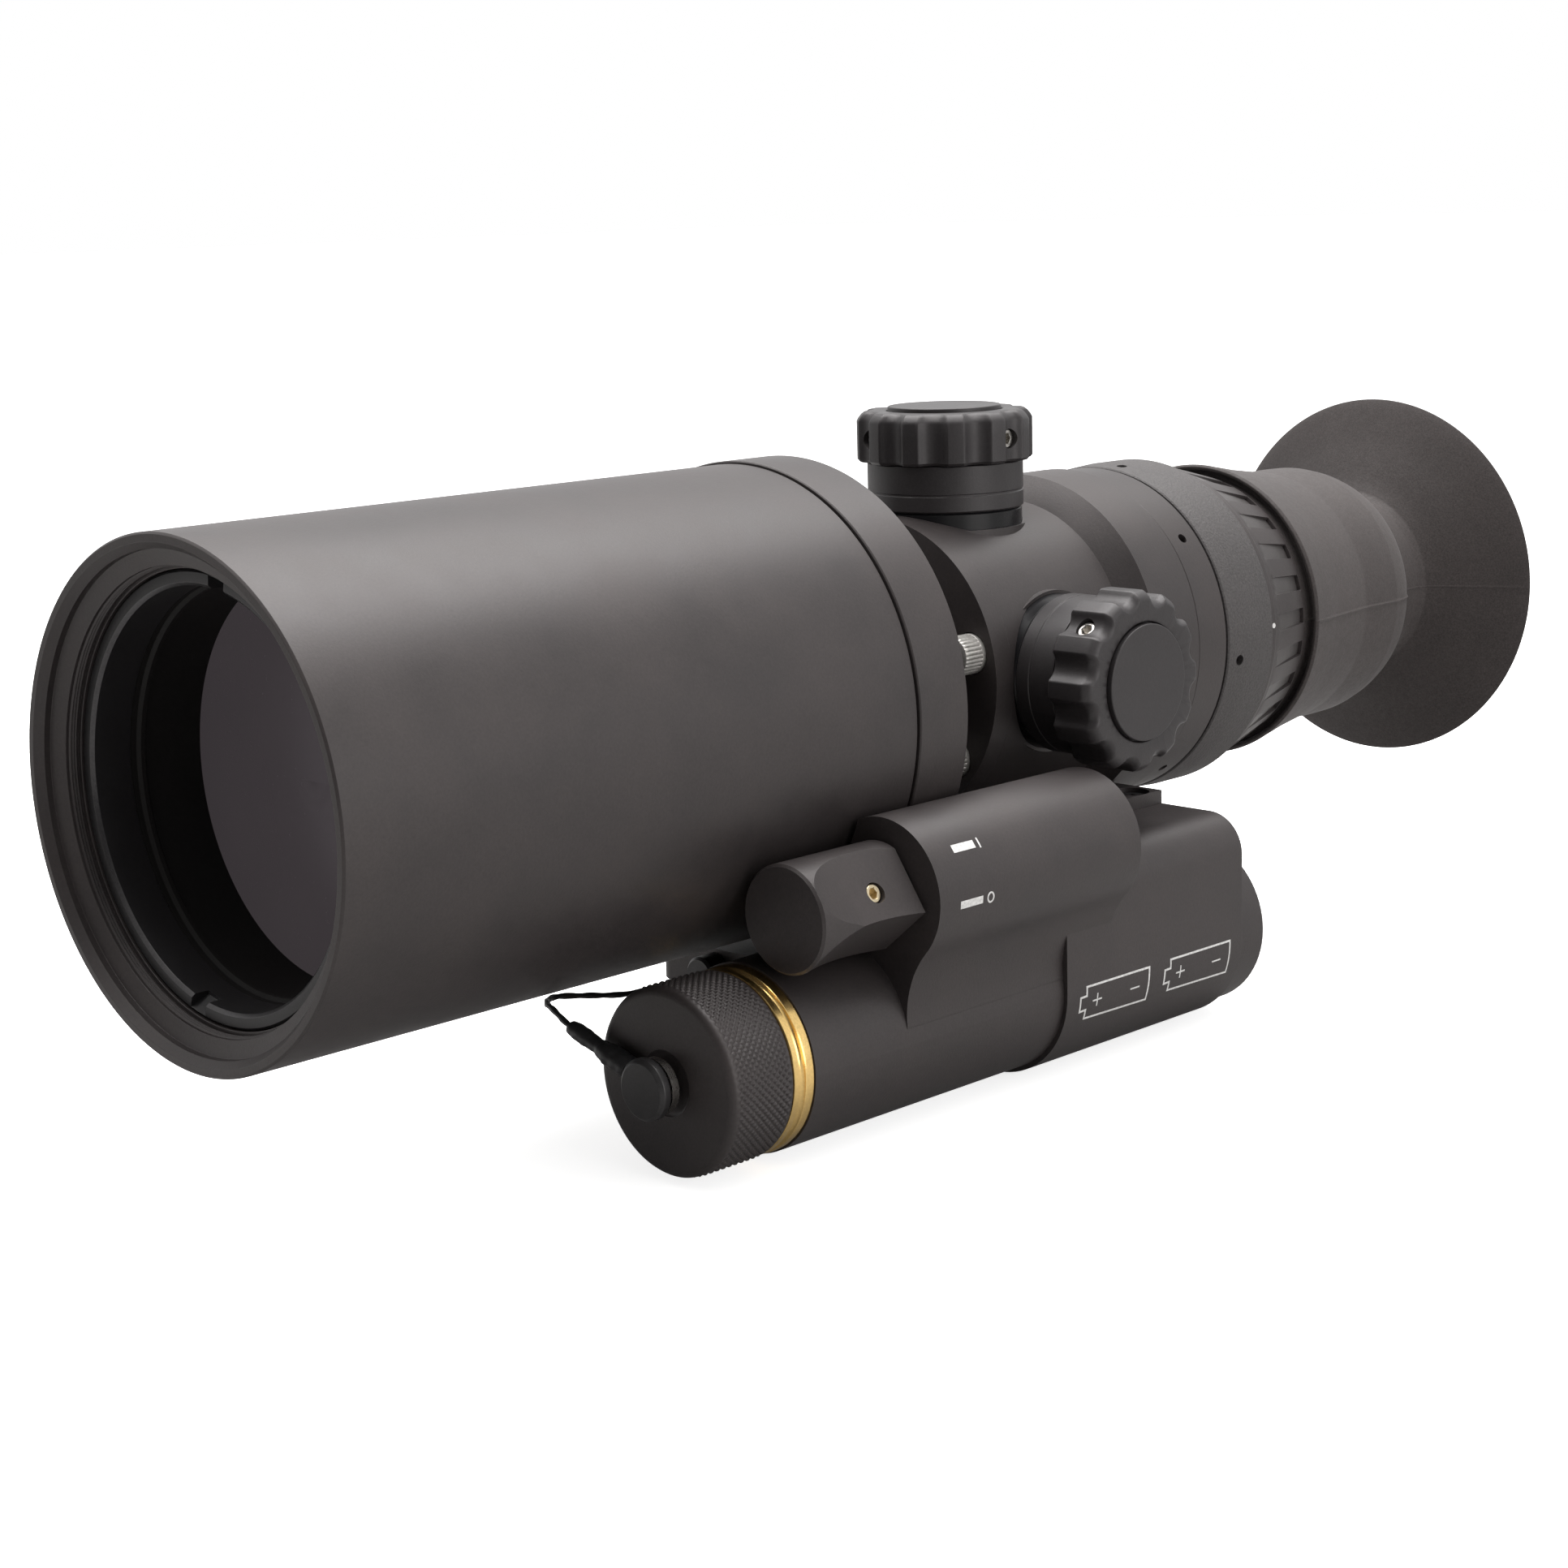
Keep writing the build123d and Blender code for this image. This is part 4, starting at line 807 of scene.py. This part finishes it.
# clamp screw of the switch knob, sunk a little below the knob's skin
ka = rad(22.6)
kd = Vector((cos(ka), 0, sin(ka)))
kp = Vector((SX, -62.3, SZ)) + kd * 5.25
ob = socket_screw("knob_grub_screw", 1.40, 2.75, 1.35, M["gold_screw"], kp, kd, "switch", None, lip=0.22)
finish_piece(ob, "switch", ["switch_knob_set_screw"])

# ------------------------------------------------------------------ rear collar, textured ring, diopter ring
co = fillet_profile([(19.5, 26.0), (23.9, 26.0), (23.9, 29.15), (26.25, 29.15, 0.12), (26.62, 29.5, 0.12), (26.62, 36.35, 0.12), (19.5, 36.35)], n=4)
co = split_long(co, 1.6)
ob = lathe("collar_turned", co, M["anodised_turned"], segs=224)
apply_cuts(ob, [radial_cutter(0.84, 24.9, 28.5, 32.7, 39 + 90 * i) for i in range(4)])
finish_piece(ob, "scope_frame", ["rear_collar"])

ho = fillet_profile([(19.5, 36.85), (26.55, 36.85, 0.1), (26.78, 37.1, 0.1), (27.1, 42.0), (27.08, 48.1, 0.12), (26.95, 48.32, 0.08), (21.4, 48.32), (21.4, 75.0), (19.5, 75.0)], n=4)
ho = split_long(ho, 1.6)
ob = lathe("grip_ring_textured", ho, M["textured_grip"], segs=224)
apply_cuts(ob, [radial_cutter(0.86, 24.6, 28.5, 39.7, -6.6 + 90 * i) for i in range(4)])
finish_piece(ob, "scope_frame", ["eyepiece_housing"])

di = fillet_profile([(21.45, 48.72), (26.0, 48.72, 0.06), (26.2, 48.95, 0.1), (26.2, 50.2, 0.1), (26.08, 50.6, 0.1), (26.02, 51.2), (26.0, 51.42), (25.82, 52.2), (25.4, 54.0), (24.9, 56.1), (24.2, 59.0), (23.58, 61.62), (23.54, 61.78), (23.28, 62.55, 0.12), (23.05, 62.95, 0.12), (21.45, 62.95)], n=3)
N_P = 27
half = 2.95
def pocket(th, pts):
    d = ((th - 3.0 + 180.0 / N_P) % (360.0 / N_P)) - 180.0 / N_P
    if abs(d) < half:
        return [(r - 0.10 - 0.55 * ((y - 51.4) / 10.3), y) if (r > 23.2 and 51.41 <= y <= 61.63) else (r, y) for r, y in pts]
    return pts
ths = []
for i in range(N_P):
    c = 3.0 + i * 360.0 / N_P
    for d in (-half - 0.22, -half + 0.02, -half * 0.5, 0, half * 0.5, half - 0.02, half + 0.22, 180.0 / N_P - 1.6, 180.0 / N_P, 180.0 / N_P + 1.6):
        ths.append((c + d) % 360)
ob = lathe("focus_ring_pockets", di, M["anodised_turned"], thetas=sorted(set(round(t, 5) for t in ths)), fn=pocket, angle=30, wn=False)
# the pocket floor faces get the lighter painted-highlight copy of the anodised finish
ob.data.materials.append(M["pocket_floor_painted_highlight"])
for f_ in ob.data.polygons:
    c_ = f_.center / MM
    t_ = math.degrees(math.atan2(c_.z - OPT, c_.x))
    d_ = ((t_ - 3.0 + 180.0 / N_P) % (360.0 / N_P)) - 180.0 / N_P
    if 51.5 < c_.y < 61.55 and abs(d_) < half - 0.1 and math.hypot(c_.x, c_.z - OPT) > 22.5:
        f_.material_index = 1
finish_piece(ob, "diopter", ["diopter_ring"])

# ------------------------------------------------------------------ rubber eyeguard
eg = [(21.45, 63.3), (22.5, 63.3, 0.1), (22.75, 65.4, 0.3), (23.75, 65.4, 0.3), (24.05, 63.95, 0.12), (24.5, 63.85, 0.25), (24.85, 64.35, 0.3), (24.5, 66.0, 1.0), (24.05, 68.6, 4), (23.4, 72.0, 6), (22.55, 78.0, 6), (21.95, 82.5, 6), (22.05, 88.0, 6), (21.95, 92.0, 4), (21.3, 95.0, 4), (20.6, 97.0, 3), (19.2, 99.0, 2.5),
      (17.4, 100.4, 1.5), (16.2, 101.4, 1.2), (15.7, 104.0, 4), (15.5, 108.6, 2.5), (16.2, 109.8, 1.2), (18.0, 111.0, 3), (25.0, 114.6, 8), (31.0, 117.3, 4), (32.35, 118.0, 0.25), (31.95, 118.42, 0.25), (30.6, 118.15, 0.5),
      (25.0, 115.9, 8), (18.2, 112.4, 4), (14.6, 110.4, 2.5), (13.7, 107.0, 4), (13.9, 102.5, 4), (16.8, 98.6, 3), (19.0, 95.8, 3), (19.9, 92.0, 3), (20.1, 88.0, 4), (20.0, 82.0, 4), (20.3, 76.2, 0.5), (21.45, 75.4)]
egp = split_long(fillet_profile(eg, default=0.15, n=6), 1.8)
def guard_fn(th, pts):
    # moulding flash along the two parting planes, soft lettering-free boot, slight natural waver of the rim
    outp = []
    n_ = len(pts)
    for i_, (r, y) in enumerate(pts):
        d = min(abs((th + 180) % 360 - 180), abs((th - 180 + 180) % 360 - 180))
        outer = i_ < OUTER_N
        ridge = (0.22 if 64.5 < y < 99 else 0.10) * max(0.0, 1 - d / 0.75) if outer and y > 63.5 else 0.0
        w = max(0.0, (y - 108.0) / 10.0)
        yy = y + 0.10 * w * w * sin(rad(th * 2 + 35)) + 0.05 * w * w * sin(rad(th * 3 + 110)) - (ridge * 0.8 if y > 110 else 0.0)
        outp.append((r + (ridge if y <= 110 else 0.0), yy))
    return outp
OUTER_N = next(i_ for i_, p_ in enumerate(egp) if p_[0] > 32.2)
ths = [i * 1.5 for i in range(240)]
for c in (0, 180):
    ths = [t for t in ths if abs((t - c + 180) % 360 - 180) > 1.0] + [(c + d) % 360 for d in (-1.0, -0.75, -0.38, 0.0, 0.38, 0.75, 1.0)]
ob = lathe("eyeguard_moulded", egp, M["eyeguard_rubber"], thetas=sorted(ths), fn=guard_fn, angle=60, wn=False)
finish_piece(ob, "scope_frame", ["rubber_eyeguard"])

# ------------------------------------------------------------------ battery cap with diamond knurling
def knurled_cap():
    R, y0, y1 = 13.07, -87.35, -77.75
    n_k, sub = 74, 8
    nu = n_k * sub
    pitch = 2 * pi * R / n_k
    nv = int(round((y1 - y0) / pitch * sub))
    front = fillet_profile([(4.6, -88.1), (4.6, -88.1)], n=0)
    pre = [(1.55, -84.7), (1.55, -88.05), (4.1, -88.05), (4.35, -88.12), (4.55, -88.4), (11.6, -88.4), (12.2, -88.32), (12.65, -88.05), (12.9, -87.7)]
    post = [(12.9, -77.6), (12.7, -77.45), (11.3, -77.45), (11.3, -85.5), (10.95, -86.0), (10.95, -86.6), (9.6, -86.6), (9.6, -84.7)]
    grid = [(R, y0 + (y1 - y0) * j / nv) for j in range(nv + 1)]
    prof = pre + grid + post
    g0, g1 = len(pre), len(pre) + len(grid)
    depth = 0.30
    def fn(th, pts):
        u = th / 360.0 * n_k
        outp = []
        for i, (r, y) in enumerate(pts):
            if g0 <= i < g1:
                v = (y - y0) / pitch
                a = abs(((u + v) % 1.0) * 2 - 1)
                b = abs(((u - v) % 1.0) * 2 - 1)
                # grooves where a or b is small
                h = min(1.0, min(a, b) * 1.55)
                e = min(1.0, min(y - y0, y1 - y) / 0.45)
                r = R - depth * (1 - h) * (0.25 + 0.75 * e) - 0.12 * (1 - e)
            outp.append((r, y))
        return outp
    return lathe("battery_cap_knurled", prof, M["anodised"], cx=BX, cz=BZ, thetas=[360.0 * i / nu for i in range(nu)], fn=fn, closed=True, angle=50, wn=False)
ob = knurled_cap()
finish_piece(ob, "battery_cap_body", ["battery_cap"])

# brass thread ring, with its turned grooves
br = [(9.9, -85.6), (11.0, -85.6)]
y = -85.3
while y < -78.0:
    br += [(11.2, y), (11.2, y + 0.5), (10.7, y + 0.85), (10.7, y + 1.1)]
    y += 1.5
br += [(11.2, -77.35), (12.55, -77.35), (12.85, -77.1), (12.88, -76.35), (12.6, -76.1), (12.3, -75.95), (12.3, -75.5), (12.45, -75.3), (12.85, -75.15), (12.98, -74.9), (12.98, -73.68), (11.5, -73.68), (11.5, -66.6), (9.9, -66.6)]
ob = lathe("thread_ring_turned", br, M["brass"], cx=BX, cz=BZ, segs=180, angle=40)
finish_piece(ob, "scope_frame", ["brass_thread_ring"])

# tether stud with a domed head
st = fillet_profile([(0, -92.9), (3.7, -92.9, 0.35), (4.25, -92.4, 0.3), (4.25, -91.3, 0.15), (1.9, -91.3), (1.9, -88.42), (1.5, -88.42), (1.5, -84.55), (3.0, -84.55), (3.0, -83.9), (0, -83.9)], n=4)
ob = lathe("tether_rivet", st, M["black_screw"], cx=BX, cz=BZ, segs=96)
finish_piece(ob, "battery_cap_body", ["tether_stud"])

# ------------------------------------------------------------------ tether: sleeve and wire
def tube_along(name, pts, radii, mat, n=20, caps=True, angle=60):
    """Swept tube with a radius at every path point."""
    P = [Vector(p) for p in pts]
    tang = []
    for i in range(len(P)):
        t = (P[min(i + 1, len(P) - 1)] - P[max(i - 1, 0)])
        tang.append(t.normalized())
    ref = Vector((0, 0, 1)) if abs(tang[0].z) < 0.9 else Vector((1, 0, 0))
    x = tang[0].cross(ref).normalized()
    verts, faces = [], []
    for i, p in enumerate(P):
        x = (x - tang[i] * x.dot(tang[i])).normalized()
        y_ = tang[i].cross(x)
        for k_ in range(n):
            a = 2 * pi * k_ / n
            r = radii(i, k_) if callable(radii) else radii[i]
            q = p + x * (r * cos(a)) + y_ * (r * sin(a))
            verts.append(tuple(q))
    for i in range(len(P) - 1):
        for k_ in range(n):
            m = (k_ + 1) % n
            faces.append((i * n + k_, i * n + m, (i + 1) * n + m, (i + 1) * n + k_))
    if caps:
        faces.append(tuple(range(n))[::-1])
        faces.append(tuple((len(P) - 1) * n + k_ for k_ in range(n)))
    o = to_object(name, verts, faces, mat, angle)
    bm = bmesh.new()
    bm.from_mesh(o.data)
    bmesh.ops.recalc_face_normals(bm, faces=bm.faces)
    bm.to_mesh(o.data)
    bm.free()
    return o


def catmull(pts, per=14):
    P = [Vector(p) for p in pts]
    P = [P[0] * 2 - P[1]] + P + [P[-1] * 2 - P[-2]]
    outp = []
    for i in range(1, len(P) - 2):
        p0, p1, p2, p3 = P[i - 1], P[i], P[i + 1], P[i + 2]
        for s in range(per):
            t = s / per
            outp.append(0.5 * ((2 * p1) + (p2 - p0) * t + (2 * p0 - 5 * p1 + 4 * p2 - p3) * t * t + (3 * p1 - p0 - 3 * p2 + p3) * t ** 3))
    outp.append(P[-2])
    return outp


la = rad(163.0)
def lug_pt(d, dy=0.0):
    return (BX + d * cos(la), -90.15 + dy, BZ + d * sin(la))
# heat-shrink sleeve: shrunk over the lug's barrel at one end, over the wire at the other
sl = [lug_pt(4.9 + 12.3 * i / 40.0) for i in range(41)]
def sl_r(i, k_):
    t = i / 40.0
    base_r = 1.62 if t < 0.35 else (1.62 - 0.52 * min(1, (t - 0.35) / 0.18))
    if t > 0.62:
        base_r = 1.10 + 0.12 * sin((t - 0.62) * 9)
    if t < 0.06:
        base_r *= 0.93 + 1.1 * t
    if t > 0.95:
        base_r *= 1 - (t - 0.95) * 2.2
    flat = 1.0 + 0.10 * cos(2 * 2 * pi * k_ / 20) * (1 if t < 0.5 else 0.3)
    return base_r * flat * (1 + 0.025 * sin(t * 47 + k_ * 0.6))
ob = tube_along("tether_shrink_sleeve", sl, sl_r, M["heat_shrink"])
finish_piece(ob, "cap_tether", ["tether_sleeve"])

wire_pts = [lug_pt(9.5), lug_pt(13.0), lug_pt(17.6), (7.6, -89.6, -35.9), (4.2, -88.0, -35.7), (2.2, -84.5, -36.0), (2.4, -79.0, -37.0), (1.6, -72.0, -38.5), (0.6, -64.0, -39.4), (0.0, -57.5, -39.6), (0.0, -52.0, -39.6), (0.0, -45.6, -39.6)]
wp = catmull(wire_pts, 16)
def wr(i, k_):
    # two-strand twist under a thin coat
    s = 0.42 + 0.05 * cos(2 * (2 * pi * k_ / 12) + i * 0.55)
    return s
ob = tube_along("tether_wire", wp, wr, M["cable"], n=12)
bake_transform(ob)
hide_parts("tether_cable")


# ------------------------------------------------------------------ printed marks: switch positions, battery outlines, focus index
def battery_wall(y, s_, off):
    """Side wall of the battery housing: flat above the tube axis, round below it."""
    if s_ >= 0:
        return (BX + 13.9 + off, y, BZ + s_)
    a = s_ / 13.9
    return (BX + (13.9 + off) * cos(a), y, BZ + (13.9 + off) * sin(a))


def switch_wall(y, s_, off):
    a = s_ / 10.6
    return (SX + (10.6 + off) * cos(a), y, SZ + (10.6 + off) * sin(a))


def ring_wall(y, s_, off):
    a = s_ / 26.2
    return ((26.2 + off) * cos(a), y, (26.2 + off) * sin(a))


PRINT_T = 0.022


def strip_mesh(verts, faces, surf, A, B, closed):
    """Thin raised band between two matching (y, s) lines."""
    n_ = len(A)
    base = len(verts)
    for off in (PRINT_T, -0.03):
        for P_ in (A, B):
            verts.extend(surf(p[0], p[1], off) for p in P_)
    def v(layer, line, i_):
        return base + (layer * 2 + line) * n_ + (i_ % n_)
    rng = range(n_ if closed else n_ - 1)
    for i_ in rng:
        faces.append((v(0, 0, i_), v(0, 0, i_ + 1), v(0, 1, i_ + 1), v(0, 1, i_)))
        faces.append((v(1, 0, i_), v(1, 1, i_), v(1, 1, i_ + 1), v(1, 0, i_ + 1)))
        faces.append((v(0, 0, i_), v(1, 0, i_), v(1, 0, i_ + 1), v(0, 0, i_ + 1)))
        faces.append((v(0, 1, i_), v(0, 1, i_ + 1), v(1, 1, i_ + 1), v(1, 1, i_)))
    if not closed:
        faces.append((v(0, 0, 0), v(0, 1, 0), v(1, 1, 0), v(1, 0, 0)))
        faces.append((v(0, 0, n_ - 1), v(1, 0, n_ - 1), v(1, 1, n_ - 1), v(0, 1, n_ - 1)))


def outline(verts, faces, surf, poly, w):
    """Closed line of width w round a polygon, mitred at its corners."""
    P_ = [Vector(p) for p in poly]
    n_ = len(P_)
    A, B = [], []
    for i_ in range(n_):
        p, q, r_ = P_[i_ - 1], P_[i_], P_[(i_ + 1) % n_]
        u_, v_ = (q - p).normalized(), (r_ - q).normalized()
        n1, n2 = Vector((-u_.y, u_.x)), Vector((-v_.y, v_.x))
        m_ = (n1 + n2).normalized()
        L = (w / 2) / max(0.35, m_.dot(n1))
        A.append(q + m_ * L)
        B.append(q - m_ * L)
    A2, B2 = [], []
    for i_ in range(n_):
        j_ = (i_ + 1) % n_
        steps = max(1, int((P_[j_] - P_[i_]).length / 0.6))
        for t_ in range(steps):
            A2.append(A[i_].lerp(A[j_], t_ / steps))
            B2.append(B[i_].lerp(B[j_], t_ / steps))
    strip_mesh(verts, faces, surf, A2, B2, True)


def stroke(verts, faces, surf, p, q, w):
    p, q = Vector(p), Vector(q)
    u_ = (q - p).normalized()
    nrm = Vector((-u_.y, u_.x)) * (w / 2)
    steps = max(2, int((q - p).length / 0.4))
    A = [p.lerp(q, t_ / steps) + nrm for t_ in range(steps + 1)]
    B = [p.lerp(q, t_ / steps) - nrm for t_ in range(steps + 1)]
    strip_mesh(verts, faces, surf, A, B, False)


def mark(name, verts, faces, body):
    o = to_object(name, verts, faces, M["paint"], 40)
    bm_ = bmesh.new()
    bm_.from_mesh(o.data)
    bmesh.ops.recalc_face_normals(bm_, faces=bm_.faces)
    bm_.to_mesh(o.data)
    bm_.free()
    finish_piece(o, body)


def arc10(d):
    return 10.6 * rad(d)


V_, F_ = [], []
stroke(V_, F_, switch_wall, (-50.55, arc10(37.3)), (-46.15, arc10(37.3)), 1.19)          # upper position bar
stroke(V_, F_, switch_wall, (-45.25, arc10(37.3) - 0.78), (-45.25, arc10(37.3) + 0.78), 0.27)   # closed-circuit stroke
stroke(V_, F_, switch_wall, (-51.38, arc10(-4.75)), (-46.85, arc10(-4.75)), 1.07)        # lower position bar
outline(V_, F_, switch_wall, [(-45.25 + 0.60 * cos(2 * pi * t_ / 28), arc10(-4.75) + 0.68 * sin(2 * pi * t_ / 28)) for t_ in range(28)], 0.25)  # open-circuit ring
mark("switch_position_marks", V_, F_, "scope_frame")

V_, F_ = [], []
for y_a, y_b, y_t in ((-18.05, -3.45, -19.43), (1.72, 16.45, 0.37)):
    outline(V_, F_, battery_wall, [(y_a, 0.38), (y_b, 0.30), (y_b, -4.90), (y_a, -4.58), (y_a, -3.15), (y_t, -3.22), (y_t, -1.02), (y_a, -0.98)], 0.32)
    c_ = y_a + 2.5
    stroke(V_, F_, battery_wall, (c_, -1.05), (c_, -3.05), 0.24)
    stroke(V_, F_, battery_wall, (c_ - 1.05, -2.05), (c_ - 0.13, -2.05), 0.24)
    stroke(V_, F_, battery_wall, (c_ + 0.13, -2.05), (c_ + 1.05, -2.05), 0.24)
    stroke(V_, F_, battery_wall, (y_b - 4.35, -2.2), (y_b - 2.2, -2.2), 0.24)
mark("battery_outline_marks", V_, F_, "scope_frame")

V_, F_ = [], []
outline(V_, F_, ring_wall, [(49.75 + 0.22 * cos(2 * pi * t_ / 20), 26.2 * rad(2.6) + 0.22 * sin(2 * pi * t_ / 20)) for t_ in range(20)], 0.40)
mark("focus_index_dot", V_, F_, "diopter")
